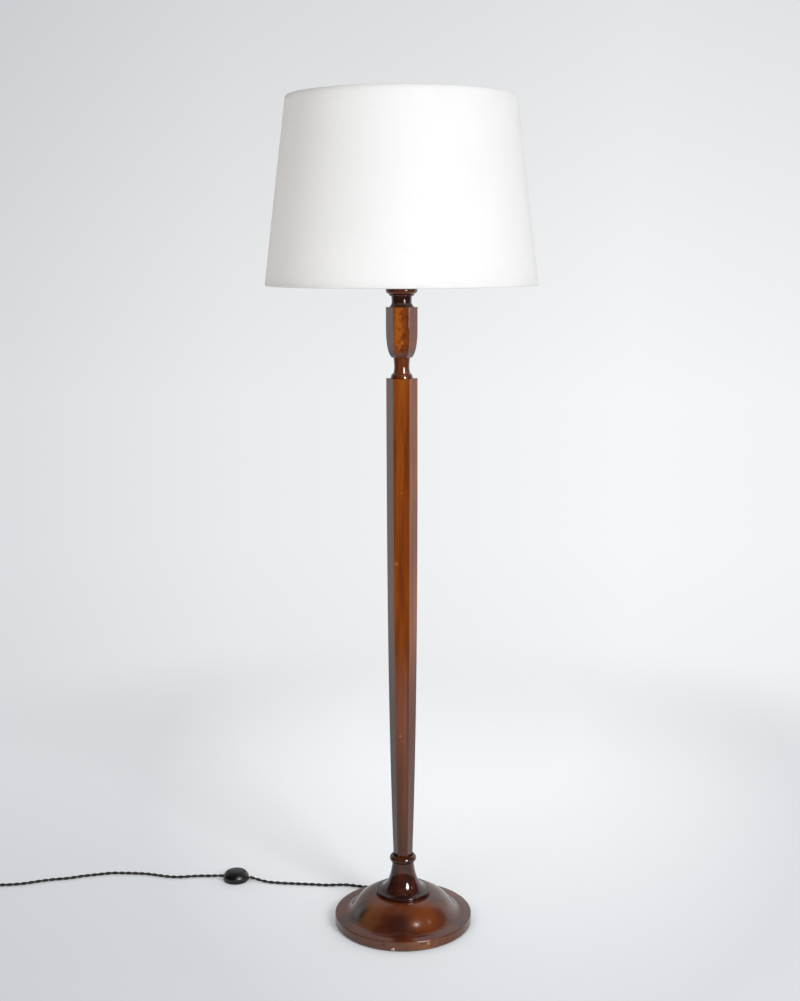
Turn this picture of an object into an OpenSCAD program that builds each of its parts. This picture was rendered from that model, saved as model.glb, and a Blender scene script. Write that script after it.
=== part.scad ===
// Candlestick floor lamp: a turned mahogany base and pedestal, a tapered hexagonal column,
// a hexagonal urn between two turned members, and a linen drum shade on a bayonet lampholder.
// Its twisted flex leaves the back of the base, passes a foot switch and ends in a coil and a plug.
// Millimetres, +Z up. The origin is on the floor, on the column's axis.

/* [Base] */
// Diameter of the turned base
base_d = 274; // [262:1:284]
// Height of the base's upright rim above the floor
rim_h = 20.2; // [16:0.2:22]
// Width of the flat ring between the rim and the foot of the dome
ring_w = 18.5; // [12:0.5:24]
// How much that ring rises towards the dome
ring_rise = 1.7; // [0:0.1:4]
// Rounding of the rim's worn top edge
rim_round = 1.8; // [0.6:0.2:3]
// Height of the dome's flat top above the floor
dome_h = 61.9; // [54:0.1:68]
// Thickness of the baize under the base
baize_t = 2; // [1:0.5:3]
// Thickness of the iron ballast plate
ballast_t = 18; // [15:1:22]
// Diameter of the iron ballast plate
ballast_d = 170; // [150:2:184]

/* [Pedestal] */
// Diameter of the pedestal's foot
foot_d = 108.6; // [100:0.2:116]
// Height of the foot's upright edge
foot_edge_h = 8; // [6:0.5:10]
// Height of the pedestal above the base
pedestal_h = 79.8; // [76:0.2:90]
// Diameter of the waist under the top bead
waist_d = 42.8; // [40:0.4:46]
// Outer diameter of the top bead
bead_d = 53.2; // [50:0.4:56]
// Height of the top bead
bead_h = 14.5; // [14:0.5:17]
// Depth of the seat that the column stands in
seat_depth = 2.9; // [1:0.1:5]
// Diameter of the tenon that goes down into the base
foot_tenon_d = 30; // [26:1:34]
// Length of that tenon
foot_tenon_len = 26.5; // [20:0.5:28]

/* [Column] */
// Length of the column between its shoulders
column_len = 957.6; // [900:0.2:1100]
// Width across flats at the top of the column
column_top_w = 51.6; // [46:0.2:54]
// Width across flats at the foot of the column
column_foot_w = 32.8; // [32:0.2:34]
// Diameter of the tenon at the foot of the column
column_tenon_d = 22; // [20:1:24]
// Length of that tenon
column_tenon_len = 38; // [25:1:45]
// Bore that the flex runs through
flex_bore_d = 11; // [9:0.5:12]

/* [Neck] */
// Height of the turned neck between the column and the urn
neck_h = 38.8; // [36:0.2:50]
// Diameter of the neck's foot bead
neck_bead_d = 42; // [38:0.5:46]
// Height of the foot bead
neck_bead_h = 9.2; // [8:0.2:12]
// Diameter at the neck's narrowest place
neck_waist_d = 28.2; // [24:0.2:30]
// Diameter of the spigots that join neck, urn and capital
spigot_d = 18; // [16:0.5:20]
// Length of those spigots
spigot_len = 22; // [16:1:28]

/* [Urn] */
// Height of the hexagonal urn
urn_h = 94.6; // [80:0.2:110]
// Width across flats of the urn
urn_w = 51.8; // [46:0.2:56]
// Height of the urn's curved lower part
urn_curve_h = 56; // [45:1:70]
// Width across flats of the urn's flat underside
urn_foot_w = 32.5; // [28:0.5:36]

/* [Capital] */
// Height of the capital
capital_h = 34.6; // [30:0.2:40]
// Diameter of the capital's top disc
capital_d = 59.6; // [54:0.2:64]
// Diameter at the capital's narrowest place
capital_waist_d = 37.8; // [32:0.2:40]

/* [Lampholder] */
// Height of the brass cap under the shoulder
holder_cap_h = 24; // [20:1:30]
// Diameter of the shoulder that carries the shade
holder_shoulder_d = 38; // [36:0.5:42]
// Diameter of the threaded barrel that the shade's ring drops over
holder_barrel_d = 28; // [27:0.5:29]
// Height of the barrel above the shoulder
holder_barrel_h = 38; // [35:1:44]
// Wall of the brass parts
brass_wall = 1; // [0.8:0.1:1.4]
// Diameter of the threaded brass tube that holds the lampholder to the wood
nipple_d = 10; // [9.6:0.1:10.4]
// Length of that tube
nipple_len = 30; // [24:1:40]
// Diameter of the knurled clamping ring
clamp_ring_d = 42; // [40:0.5:46]
// Height of the clamping ring
clamp_ring_h = 7.4; // [6:0.2:10]

/* [Bulb] */
// Diameter of the bayonet cap
bulb_cap_d = 22; // [21.6:0.1:22.2]
// Height of the bayonet cap
bulb_cap_h = 26; // [24:0.5:28]
// Diameter of the glass
bulb_d = 60; // [50:1:70]
// Height of the glass above the cap
bulb_glass_h = 79; // [74:1:90]

/* [Shade] */
// Bottom diameter of the shade
shade_bottom_d = 511.2; // [460:0.2:560]
// Top diameter of the shade
shade_top_d = 425.8; // [380:0.2:450]
// Height of the shade
shade_h = 340.8; // [280:0.2:360]
// How far the shade's lower edge lies above the capital
shade_gap = 6; // [2:0.5:14]
// Thickness of the linen
linen_t = 0.7; // [0.5:0.1:1.2]
// Thickness of the stiff lining
lining_t = 0.5; // [0.3:0.1:0.8]
// Diameter of the top and bottom wires
rim_wire_d = 4; // [3:0.2:5]
// Diameter of the three carrier wires
spoke_d = 3; // [2.4:0.2:4]
// Diameter of the carrier's washer
fitter_d = 54; // [50:1:60]
// Thickness of that washer
fitter_t = 1.5; // [1:0.1:2]

/* [Flex] */
// Diameter over the two twisted cores of the flex
flex_d = 6.4; // [6:0.1:6.6]
// Height of the flex's way out through the rim
flex_out_z = 9; // [8:0.2:9.6]
// Radius of the flex's bend inside the base
flex_bend_r = 22; // [16:1:23]
// Outer diameter of the coil, to the middle of the flex
coil_d = 97; // [94:1:104]
// Step of the coil's spiral in one turn
coil_step = 7; // [6.9:0.05:7.3]
// Turns of the coil's lower layer
coil_turns = 3; // [2:1:3]

/* [Foot switch] */
// Diameter of the foot switch
switch_d = 54; // [52:0.5:58]
// Height of the foot switch
switch_h = 21.5; // [20.5:0.5:24]
// Height of its upright skirt
switch_skirt_h = 10.5; // [9.5:0.5:12]
// Wall of the switch's cover
switch_wall = 2; // [1.6:0.2:2.4]
// Diameter of the push button
button_d = 33; // [31:0.5:35]
// Travel of the push button
button_travel = 3; // [2:0.2:3.4]

/* [Plug] */
// Width of the plug
plug_w = 49; // [46:0.5:52]
// Length of the plug, from the flex to the far edge
plug_len = 50; // [47:0.5:54]
// Depth of the plug's pin side
plug_base_t = 9; // [8:0.5:11]
// Depth of the plug's cover
plug_cover_t = 13; // [11:0.5:15]
// Rounding of the plug's corners
plug_round = 9; // [5:0.5:12]

/* [Clearances] */
// Clearance around glued spigots, tenons and screws, on each side
glue_gap = 0.15; // [0.1:0.05:0.3]
// Running clearance beside pieces that move, on each side
run_gap = 0.3; // [0.2:0.05:0.4]
// Small gap between thin skins and wires that lie against each other
skin_gap = 0.1; // [0.05:0.05:0.2]
// Space left under a spigot in its mortise
end_gap = 2; // [1:0.5:4]

/* [Hidden] */
$fn = 64;
ROOT3 = sqrt(3);

// Heights of the shoulders, from the floor up.
pedestal_z = dome_h;
bead_top_z = pedestal_z + pedestal_h;
column_z = bead_top_z - seat_depth;
neck_z = column_z + column_len;
urn_z = neck_z + neck_h;
capital_z = urn_z + urn_h;
holder_z = capital_z + capital_h;
shoulder_t = 2.5;
shoulder_lip = 1.5;
shoulder_z = holder_z + holder_cap_h;
barrel_z = shoulder_z + shoulder_t;
nipple_out = 9;
nipple_z = holder_z + nipple_out - nipple_len;
flex_end_out = 4;
fitter_z = barrel_z + run_gap;
clamp_z = fitter_z + fitter_t + run_gap;

// Base, ballast and their screws.
base_r = base_d / 2;
foot_r = foot_d / 2;
foot_undercut = 2.3;
dome_foot_pull = 22;
dome_top_pull = 45;
recess_z = baize_t + ballast_t;
ballast_hole_d = 2 * (flex_bend_r + flex_d + 3);
slot_w = flex_d + 3;
flex_side = 120;
flex_dir = [cos(flex_side), sin(flex_side), 0];
screw_d = 5;
screw_head_d = 9.6;
screw_head_t = 3;
pedestal_screw_r = 34;
pedestal_screw_angles = [30, 150, 270];
pedestal_screw_bite = 10;
ballast_screw_r = 60;
ballast_screw_angles = [60, 180, 300];
ballast_screw_bite = 16;
grommet_wall = 1.7;
grommet_len = 15;
grommet_lip_t = 1.5;
grommet_d = flex_d + 2 * (skin_gap + grommet_wall);
grommet_lip_d = grommet_d + 3.6;
grommet_seat = 0.5;
grommet_face_r = base_r + grommet_lip_t;
flex_out = grommet_face_r * flex_dir + [0, 0, flex_out_z];

// Pedestal bead: a half-round whose centre line lies at the height of its middle.
bead_r = bead_h / 2;
bead_z = bead_top_z - bead_r;
seat_d = column_foot_w * 2 / ROOT3 + 3.4;

// Capital members, from the top down: disc with a hollow under it, and a small step.
disc_t = 5;
hollow_t = 5.4;
step_t = 3.2;
step_out = 4.4;

// Lampholder and bulb.
core_h = 12;
core_z = barrel_z + 2;
plunger_d = 4;
plunger_out = 4;
plunger_apart = 11;
bulb_z = core_z + core_h + plunger_out + skin_gap;
bulb_pin_z = 6.5;
bulb_pin_d = 2;
bulb_pin_out = 2.5;
slot_play = 0.4;
slot_dip = 1.2;
slot_turn = 26;
glass_t = 0.8;
glass_seat = 3;
glass_neck_d = bulb_cap_d - 2 * (brass_wall + skin_gap);

// Shade: outer radius of the linen at a height above the lower edge.
shade_z = holder_z + shade_gap;
function shade_r(h) = shade_bottom_d / 2 + (shade_top_d - shade_bottom_d) / 2 * h / shade_h;
skin_t = linen_t + skin_gap + lining_t;
hem_t = 0.6;
hem_r = rim_wire_d / 2 + skin_gap + hem_t;
hem_mouth = 50;
bottom_wire_r = shade_r(hem_r) - skin_t - skin_gap - hem_r;
top_wire_r = shade_r(shade_h - hem_r) - skin_t - 2 * skin_gap - hem_r;
spoke_z = fitter_z + fitter_t + spoke_d / 2 + skin_gap;
spoke_start_r = clamp_ring_d / 2 + 1.2;
spoke_end_r = bottom_wire_r - hem_r - run_gap - spoke_d / 2;
spoke_angles = [90, 210, 330];

// Foot switch: its middle on the floor, and its turn about Z so that the flex runs through it.
switch_at = [-367, 175, 0];
switch_turn = -7;
switch_dir = [cos(switch_turn), sin(switch_turn), 0];
switch_r = switch_d / 2;
switch_floor_t = 3;
switch_flex_z = switch_floor_t + flex_d / 2 + 0.3;
switch_mouth_d = flex_d + 2 * skin_gap;
switch_in_r = switch_r - switch_wall - 1;
switch_straight = 12;
switch_flex_right = switch_at + switch_in_r * switch_dir + [0, 0, switch_flex_z];
switch_flex_left = switch_at - switch_in_r * switch_dir + [0, 0, switch_flex_z];
button_r = button_d / 2;
button_rim_t = 4;
spindle_d = 5;
rotor_d = 17;
rotor_z = switch_floor_t + 1.2;
rotor_t = 3;
rotor_bridge_t = 0.8;
spring_wire_d = 0.9;
spring_d = 9.2;
spring_turns = 4;
switch_screw_r = switch_r - 5.5;
switch_screw_d = 2.6;
switch_screw_bite = 4;
switch_head_d = 5;
switch_head_z = 1.4;
well_lip_z = switch_h - 2.5;
well_foot_z = well_lip_z - 4.6;
switch_screw_angles = [45, 135, 225, 315];

// Flex outside the lamp, through points chosen along the floor.
flex_r = flex_d / 2;
flex_lie_z = flex_r + 0.1;
lamp_side_floor = [
    [-80, 134, 6.6], [-90, 140.5, 4.6], [-106, 146.5], [-126, 151], [-146, 150], [-168, 148],
    [-194, 150], [-210, 151], [-227, 152], [-243, 153], [-260, 154], [-276, 156],
    [-291, 158], [-304, 161.5, 3.8], [-316, 166, 4.8], [-325, 168.9, 5.9]
];
plug_side_floor = [
    [-409, 180.9, 5.6], [-421, 183, 4.3], [-433, 184.4], [-450, 183.5], [-466, 181], [-480, 178],
    [-493, 176.5], [-508, 177], [-524, 180], [-541, 184.5], [-559, 189], [-577, 191], [-598, 192],
    [-620, 192], [-636, 191.5], [-652, 188.5], [-668, 183.5], [-685, 178.5], [-701, 173.5],
    [-716, 167], [-731, 161.5], [-745, 158], [-760, 154.5], [-775, 149.5], [-789, 144],
    [-803, 138], [-817, 132.5], [-831, 128.8], [-846, 126], [-862, 124], [-878, 121.5], [-894, 119]
];
coil_at = [-925, 68, 0];
coil_layer = flex_d + 0.5;
coil_rings = 24;
coil_sides = 6;
tube_sides = 8;

// Plug: it lies on its cover with the pins up, and the flex meets it square.
plug_at = [-1006, 109, 0];
plug_flex_z = 10;
plug_inset = 3;
plug_wall = 3;
plug_boss_d = 9;
plug_screw_d = 3.6;
plug_head_d = 7;
plug_head_t = 2.4;
plug_screw_foot = 5;
pin_apart = 22.2;
pin_first = 15;
earth_pin = [8, 4, 22.7];
live_pin = [6.35, 4, 17.7];
pin_foot_z = 3;
fuse_d = 6.3;
fuse_len = 25.4;

// --- Curves and sweeps -------------------------------------------------------------------

// Points of a cubic curve from a to d, pulled towards b and c.
function curve(a, b, c, d, steps) = [
    for (i = [0:steps]) let (t = i / steps, s = 1 - t)
        s * s * s * a + 3 * s * s * t * b + 3 * s * t * t * c + t * t * t * d
];

// Points of an arc about a centre, from one angle to another.
function arc(centre, r, from, to, steps) = [
    for (i = [0:steps]) let (a = from + (to - from) * i / steps)
        centre + r * [cos(a), sin(a)]
];

function unit(v) = v / norm(v);

// Direction of a route at its point i.
function heading(route, i) =
    i == 0 ? unit(route[1] - route[0])
    : i == len(route) - 1 ? unit(route[i] - route[i - 1])
    : unit(unit(route[i + 1] - route[i]) + unit(route[i] - route[i - 1]));

// One ring of a tube about the route's point i.
function ring_at(route, i, r, sides) =
    let (t = heading(route, i), side = unit(cross([0, 0, 1], t)), up = cross(t, side))
    [for (k = [0:sides - 1]) route[i] + r * (cos(360 * k / sides) * side + sin(360 * k / sides) * up)];

// Round tube along a route, closed at both ends, all faces triangles.
module tube(route, r, sides) {
    rings = len(route);
    points = [for (i = [0:rings - 1]) each ring_at(route, i, r, sides)];
    walls = [
        for (i = [0:rings - 2], k = [0:sides - 1])
            let (a = i * sides + k, b = i * sides + (k + 1) % sides)
            each [[a, b, b + sides], [a, b + sides, a + sides]]
    ];
    last = (rings - 1) * sides;
    first_cap = [for (k = [1:sides - 2]) [0, k + 1, k]];
    last_cap = [for (k = [1:sides - 2]) [last, last + k, last + k + 1]];
    polyhedron(points, concat(walls, first_cap, last_cap), convexity = 10);
}

// Points on the floor may leave out their height, and then lie at the flex's own.
function on_floor(points) = [for (p = points) [p[0], p[1], is_undef(p[2]) ? flex_lie_z : p[2]]];

// --- Common shapes -----------------------------------------------------------------------

// Hexagonal prism whose side profile is a list of [half width across flats, height].
module hexagonal(profile, reach) {
    left = [for (i = [len(profile) - 1:-1:0]) [-profile[i][0], profile[i][1]]];
    intersection_for (a = [30, 90, 150]) {
        rotate([0, 0, a]) rotate([90, 0, 0])
            linear_extrude(height = reach, center = true) polygon(concat(profile, left));
    }
}

module bore(d, low, high) {
    translate([0, 0, low]) cylinder(d = d, h = high - low);
}

// Copies around the axis at radius r.
module around(angles, r) {
    for (a = angles) rotate([0, 0, a]) translate([r, 0, 0]) children();
}

module ring(outer, inner, h) {
    difference() {
        cylinder(d = outer, h = h);
        translate([0, 0, -1]) cylinder(d = inner, h = h + 2);
    }
}

// Screw with its head's outer face at z = 0 and its shank upwards.
module screw(len) {
    cylinder(d1 = screw_head_d, d2 = screw_d, h = screw_head_t);
    cylinder(d = screw_d, h = len - 6);
    translate([0, 0, len - 6]) cylinder(d1 = screw_d, d2 = 1, h = 6);
}

// The hole such a screw sits in, widened by the glue gap.
module screw_hole(len) {
    translate([0, 0, -1]) cylinder(d = screw_head_d + 2 * glue_gap, h = 1 + glue_gap);
    translate([0, 0, glue_gap])
        cylinder(d1 = screw_head_d + 2 * glue_gap, d2 = screw_d + 2 * glue_gap, h = screw_head_t);
    cylinder(d = screw_d + 2 * glue_gap, h = len + 1);
}

module rounded_rect(w, l, r) {
    translate([-w / 2 + r, 0]) square([w - 2 * r, l]);
    translate([-w / 2, r]) square([w, l - 2 * r]);
    for (x = [-1, 1], y = [r, l - r]) translate([x * (w / 2 - r), y]) circle(r);
}

// --- Base --------------------------------------------------------------------------------

ballast_screw_len = ballast_t + ballast_screw_bite;
pedestal_screw_len = dome_h - recess_z + pedestal_screw_bite;

module flex_way(d, from_r, to_r) {
    rotate([0, 0, flex_side]) translate([from_r, 0, flex_out_z]) rotate([0, 90, 0])
        cylinder(d = d, h = to_r - from_r);
}

module base_plate() {
    ring_r = base_r - ring_w;
    ring_z = rim_h + ring_rise;
    dome_top_r = foot_r - foot_undercut;
    outline = concat(
        [[0, baize_t], [base_r - 1, baize_t], [base_r, baize_t + 1]],
        arc([base_r - rim_round, rim_h - rim_round], rim_round, 0, 84, 5),
        curve([ring_r, ring_z], [ring_r - dome_foot_pull, ring_z], [dome_top_r + dome_top_pull, dome_h],
              [dome_top_r, dome_h], 28),
        [[0, dome_h]]
    );
    color("saddlebrown") difference() {
        rotate_extrude($fn = 128) polygon(outline);
        bore(foot_tenon_d + 2 * glue_gap, recess_z - 1, dome_h + 1);
        bore(ballast_d + 2 * run_gap, baize_t - 1, recess_z);
        translate([0, 0, recess_z]) around(pedestal_screw_angles, pedestal_screw_r)
            screw_hole(pedestal_screw_len);
        translate([0, 0, baize_t]) around(ballast_screw_angles, ballast_screw_r)
            screw_hole(ballast_screw_len);
        flex_way(grommet_d + 2 * glue_gap, ballast_d / 2 - 2, base_r + 5);
        flex_way(grommet_lip_d + 2 * glue_gap, base_r - grommet_seat, base_r + 5);
    }
}

module base_baize() {
    color("darkolivegreen") cylinder(r = base_r - 2.5, h = baize_t, $fn = 128);
}

module ballast_weight() {
    color("dimgray") difference() {
        translate([0, 0, baize_t]) cylinder(d = ballast_d, h = ballast_t, $fn = 128);
        bore(ballast_hole_d, baize_t - 1, recess_z + 1);
        translate([0, 0, baize_t]) around(ballast_screw_angles, ballast_screw_r)
            screw_hole(ballast_screw_len);
        rotate([0, 0, flex_side]) translate([flex_bend_r, -slot_w / 2, baize_t - 1])
            cube([ballast_d, slot_w, flex_out_z - baize_t + 1 + slot_w / 2]);
    }
}

module ballast_screws() {
    color("gainsboro") translate([0, 0, baize_t]) around(ballast_screw_angles, ballast_screw_r)
        screw(ballast_screw_len);
}

module pedestal_screws() {
    color("gainsboro") translate([0, 0, recess_z]) around(pedestal_screw_angles, pedestal_screw_r)
        screw(pedestal_screw_len);
}

// Rubber bush in the rim, its lip let a little way into the curved wood.
module flex_grommet() {
    color("black") rotate([0, 0, flex_side]) translate([base_r, 0, flex_out_z])
        rotate([0, 90, 0]) difference() {
            union() {
                translate([0, 0, -grommet_len]) cylinder(d = grommet_d, h = grommet_len);
                translate([0, 0, -grommet_seat])
                    cylinder(d = grommet_lip_d, h = grommet_lip_t + grommet_seat);
            }
            translate([0, 0, -grommet_len - 1])
                cylinder(d = flex_d + 2 * skin_gap, h = grommet_len + grommet_lip_t + 2);
        }
}

// --- Pedestal, column, neck, urn and capital ---------------------------------------------

module pedestal() {
    waist_r = waist_d / 2;
    edge_z = pedestal_z + foot_edge_h;
    waist_z = bead_z - bead_r + 1;
    flare = concat(
        [[0, pedestal_z], [foot_r - foot_undercut, pedestal_z], [foot_r - 0.6, pedestal_z + 1.6]],
        arc([foot_r - 2.4, edge_z - 2.4], 2.4, 0, 90, 5),
        curve([foot_r - 3.2, edge_z], [foot_r - 24.4, edge_z + 2], [waist_r + 1.2, waist_z - 24],
              [waist_r, waist_z], 24),
        [[waist_r, bead_top_z - 3], [0, bead_top_z - 3]]
    );
    color("saddlebrown") difference() {
        union() {
            rotate_extrude($fn = 96) difference() {
                union() {
                    polygon(flare);
                    translate([bead_d / 2 - bead_r, bead_z]) circle(bead_r, $fn = 48);
                    translate([0, bead_z]) square([bead_d / 2 - bead_r, bead_r]);
                }
                translate([-1, column_z]) square([seat_d / 2 + 1, seat_depth + 1]);
            }
            bore(foot_tenon_d, pedestal_z - foot_tenon_len, pedestal_z + 1);
        }
        bore(flex_bore_d, pedestal_z - foot_tenon_len - 1, column_z + 1);
        bore(column_tenon_d + 2 * glue_gap, column_z - column_tenon_len - end_gap, column_z + 1);
        translate([0, 0, recess_z]) around(pedestal_screw_angles, pedestal_screw_r)
            screw_hole(pedestal_screw_len);
    }
}

// Half width across flats of the column at a height, thinning faster towards the foot.
function column_half(z) =
    let (u = (neck_z - z) / column_len)
    column_top_w / 2 - (column_top_w - column_foot_w) / 2 * u * u * u;

module column() {
    steps = 24;
    profile = [for (i = [0:steps]) let (z = column_z + column_len * i / steps) [column_half(z), z]];
    color("saddlebrown") difference() {
        union() {
            hexagonal(profile, 2 * column_top_w);
            bore(column_tenon_d, column_z - column_tenon_len, column_z + 1);
        }
        bore(flex_bore_d, column_z - column_tenon_len - 1, neck_z + 1);
        bore(spigot_d + 2 * glue_gap, neck_z - spigot_len - end_gap, neck_z + 1);
    }
}

module neck() {
    waist_r = neck_waist_d / 2;
    bead_out = neck_bead_d / 2;
    bead_in = waist_r + 1.9;
    bead_top = neck_z + neck_bead_h;
    outline = concat(
        [[0, neck_z], [bead_out - 0.4, neck_z], [bead_out, neck_z + 0.6]],
        curve([bead_out, neck_z + 1.4], [bead_out - 0.8, bead_top - 3.6], [bead_in + 3, bead_top - 0.8],
              [bead_in + 0.8, bead_top], 10),
        curve([bead_in, bead_top + 0.6], [waist_r, bead_top + 9], [waist_r - 0.2, urn_z - 16],
              [waist_r + 1.6, urn_z - 0.8], 14),
        [[waist_r + 1.6, urn_z], [0, urn_z]]
    );
    color("saddlebrown") difference() {
        union() {
            rotate_extrude($fn = 96) polygon(outline);
            bore(spigot_d, neck_z - spigot_len, urn_z + spigot_len);
        }
        bore(flex_bore_d, neck_z - spigot_len - 1, urn_z + spigot_len + 1);
    }
}

module urn() {
    half = urn_w / 2;
    foot = urn_foot_w / 2;
    profile = concat(
        curve([foot, urn_z], [foot + 7.6, urn_z + 7.6], [half, urn_z + urn_curve_h - 25],
              [half, urn_z + urn_curve_h], 20),
        [[half, capital_z]]
    );
    color("saddlebrown") difference() {
        hexagonal(profile, 2 * urn_w);
        bore(flex_bore_d, urn_z - 1, capital_z + 1);
        bore(spigot_d + 2 * glue_gap, urn_z - 1, urn_z + spigot_len + end_gap);
        bore(spigot_d + 2 * glue_gap, capital_z - spigot_len - end_gap, capital_z + 1);
    }
}

module capital() {
    waist_r = capital_waist_d / 2;
    disc_r = capital_d / 2;
    disc_z = holder_z - disc_t;
    hollow_z = disc_z - hollow_t;
    step_z = hollow_z - step_t;
    step_r = step_t / 2;
    outline = concat(
        [[0, capital_z], [waist_r + 4.6, capital_z]],
        curve([waist_r + 4.3, capital_z + 0.8], [waist_r + 1.2, capital_z + 3.4],
              [waist_r - 0.5, capital_z + 7], [waist_r, capital_z + 10], 8),
        curve([waist_r, capital_z + 12], [waist_r, capital_z + 15],
              [waist_r + 0.2, step_z - 2.4], [waist_r + 1.2, step_z], 5),
        arc([waist_r + step_out - step_r, step_z + step_r], step_r, -90, 60, 6),
        curve([waist_r + step_out + 0.9, hollow_z], [disc_r - 3.4, hollow_z + 1.6],
              [disc_r - 1, disc_z - 1.8], [disc_r - 0.3, disc_z], 6),
        [[disc_r, disc_z + 1]],
        arc([disc_r - 2.2, holder_z - 2.2], 2.2, 0, 90, 5),
        [[0, holder_z]]
    );
    color("saddlebrown") difference() {
        union() {
            rotate_extrude($fn = 96) polygon(outline);
            bore(spigot_d, capital_z - spigot_len, capital_z + 1);
        }
        bore(flex_bore_d, capital_z - spigot_len - 1, holder_z + 1);
    }
}

// --- Lampholder and bulb -----------------------------------------------------------------

// Threaded tube that is screwed into the capital and carries the lampholder.
module holder_nipple() {
    color("goldenrod") difference() {
        bore(nipple_d, nipple_z, nipple_z + nipple_len);
        bore(flex_d + 2 * skin_gap, nipple_z - 1, nipple_z + nipple_len + 1);
    }
}

module holder_cap() {
    shoulder_r = holder_shoulder_d / 2;
    wall = brass_wall;
    bell = curve([10.5, holder_z + 4], [12, holder_z + 11], [shoulder_r - 1, holder_z + 7],
                 [shoulder_r - 1, shoulder_z - 4], 12);
    color("goldenrod") difference() {
        rotate_extrude($fn = 64) polygon(concat(
            [[nipple_d / 2 + glue_gap, holder_z], [10.5, holder_z]], bell,
            [[shoulder_r - 1, shoulder_z], [shoulder_r - 1 - wall, shoulder_z]],
            [for (i = [len(bell) - 1:-1:0]) bell[i] + [-wall, wall]],
            [[nipple_d / 2 + glue_gap, holder_z + 5]]
        ));
    }
}

// Shoulder and threaded barrel in one, with the bayonet slots for the bulb's pins.
module holder_body() {
    color("goldenrod") difference() {
        union() {
            translate([0, 0, shoulder_z])
                ring(holder_shoulder_d, holder_barrel_d - 2 * shoulder_lip, shoulder_t);
            translate([0, 0, shoulder_z])
                ring(holder_barrel_d, holder_barrel_d - 2 * brass_wall, shoulder_t + holder_barrel_h);
        }
        for (a = [0, 180]) rotate([0, 0, a]) bayonet_slot();
    }
}

// Way of one pin: straight down from the barrel's mouth, round, and up into the notch it rests in.
module bayonet_slot() {
    slot_d = bulb_pin_d + 2 * slot_play;
    slot_r = holder_barrel_d / 2 - 2 * brass_wall;
    pin_z = bulb_z + bulb_pin_z;
    run_z = pin_z - slot_dip;
    for (place = [[0, pin_z], [0, run_z], [slot_turn, run_z]])
        rotate([0, 0, place[0]]) translate([slot_r, 0, place[1]]) rotate([0, 90, 0])
            cylinder(d = slot_d, h = 4 * brass_wall);
    rotate_extrude(angle = slot_turn)
        translate([slot_r, run_z - slot_d / 2]) square([4 * brass_wall, slot_d]);
    rotate([0, 0, slot_turn]) translate([slot_r, -slot_d / 2, run_z])
        cube([4 * brass_wall, slot_d, holder_barrel_h]);
}

// Insulating block on the shoulder's inner lip, with a blind hole for each plunger.
module holder_core() {
    color("saddlebrown") difference() {
        bore(holder_barrel_d - 2 * brass_wall - 2 * glue_gap, barrel_z, core_z + core_h);
        for (x = [-0.5, 0.5]) translate([x * plunger_apart, 0, core_z])
            cylinder(d = plunger_d + 2 * glue_gap, h = core_h + 1);
    }
}

module holder_plungers() {
    color("goldenrod") for (x = [-0.5, 0.5]) translate([x * plunger_apart, 0, core_z]) {
        cylinder(d = plunger_d, h = core_h + plunger_out - 1);
        translate([0, 0, core_h + plunger_out - 1])
            cylinder(d1 = plunger_d, d2 = plunger_d - 1.4, h = 1);
    }
}

// Fluted ring that screws down on the shade's washer.
module clamp_ring() {
    flutes = 24;
    color("goldenrod") translate([0, 0, clamp_z]) difference() {
        union() {
            cylinder(d = clamp_ring_d, h = clamp_ring_h - 1);
            translate([0, 0, clamp_ring_h - 1])
                cylinder(d1 = clamp_ring_d, d2 = clamp_ring_d - 2, h = 1);
        }
        translate([0, 0, -1]) cylinder(d = holder_barrel_d + 2 * glue_gap, h = clamp_ring_h + 2);
        for (k = [0:flutes - 1]) rotate([0, 0, 360 * k / flutes])
            translate([clamp_ring_d / 2 + 0.6, 0, 1.5]) cylinder(d = 3, h = clamp_ring_h);
    }
}

// Bayonet cap: an aluminium cup with two pins, and the insulated end with its contacts.
module bulb_cap() {
    color("silver") translate([0, 0, bulb_z]) {
        difference() {
            union() {
                translate([0, 0, 1.5]) cylinder(d = bulb_cap_d, h = bulb_cap_h - 1.5);
                cylinder(d1 = bulb_cap_d - 4, d2 = bulb_cap_d, h = 1.5);
            }
            translate([0, 0, 5])
                cylinder(d = bulb_cap_d - 2 * brass_wall, h = bulb_cap_h);
        }
        for (a = [0, 180]) rotate([0, 0, a]) translate([bulb_cap_d / 2 - 0.6, 0, bulb_pin_z])
            rotate([0, 90, 0]) cylinder(d = bulb_pin_d, h = bulb_pin_out + 0.6);
    }
}

// Thin glass, open at the neck where it is cemented into the cap.
module bulb_glass() {
    neck_r = glass_neck_d / 2;
    low = bulb_z + bulb_cap_h - glass_seat;
    top = bulb_z + bulb_cap_h + bulb_glass_h;
    globe_r = bulb_d / 2;
    globe_z = top - globe_r;
    side = concat(
        [[neck_r, low]],
        curve([neck_r, bulb_z + bulb_cap_h + 2], [neck_r, globe_z - 26],
              [globe_r, globe_z - 22], [globe_r, globe_z], 14),
        arc([0, globe_z], globe_r, 8, 82, 12)
    );
    color("white") rotate_extrude($fn = 64) polygon(concat(
        side, [[0, top], [0, top - glass_t]],
        [for (i = [len(side) - 1:-1:0])
            let (p = side[i], lift = p[1] > globe_z ? glass_t * (p[1] - globe_z) / globe_r : 0,
                 thin = p[1] > globe_z ? glass_t * p[0] / globe_r : glass_t)
            [p[0] - thin, p[1] - lift]]
    ));
}

// --- Shade -------------------------------------------------------------------------------

// Tapered sleeve between two distances inside the linen's outer face.
module sleeve(outside, inside) {
    rotate_extrude($fn = 128) polygon([
        [shade_r(0) - outside, shade_z], [shade_r(shade_h) - outside, shade_z + shade_h],
        [shade_r(shade_h) - inside, shade_z + shade_h], [shade_r(0) - inside, shade_z]
    ]);
}

module shade_cover() {
    color("white") sleeve(0, linen_t);
}

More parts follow.
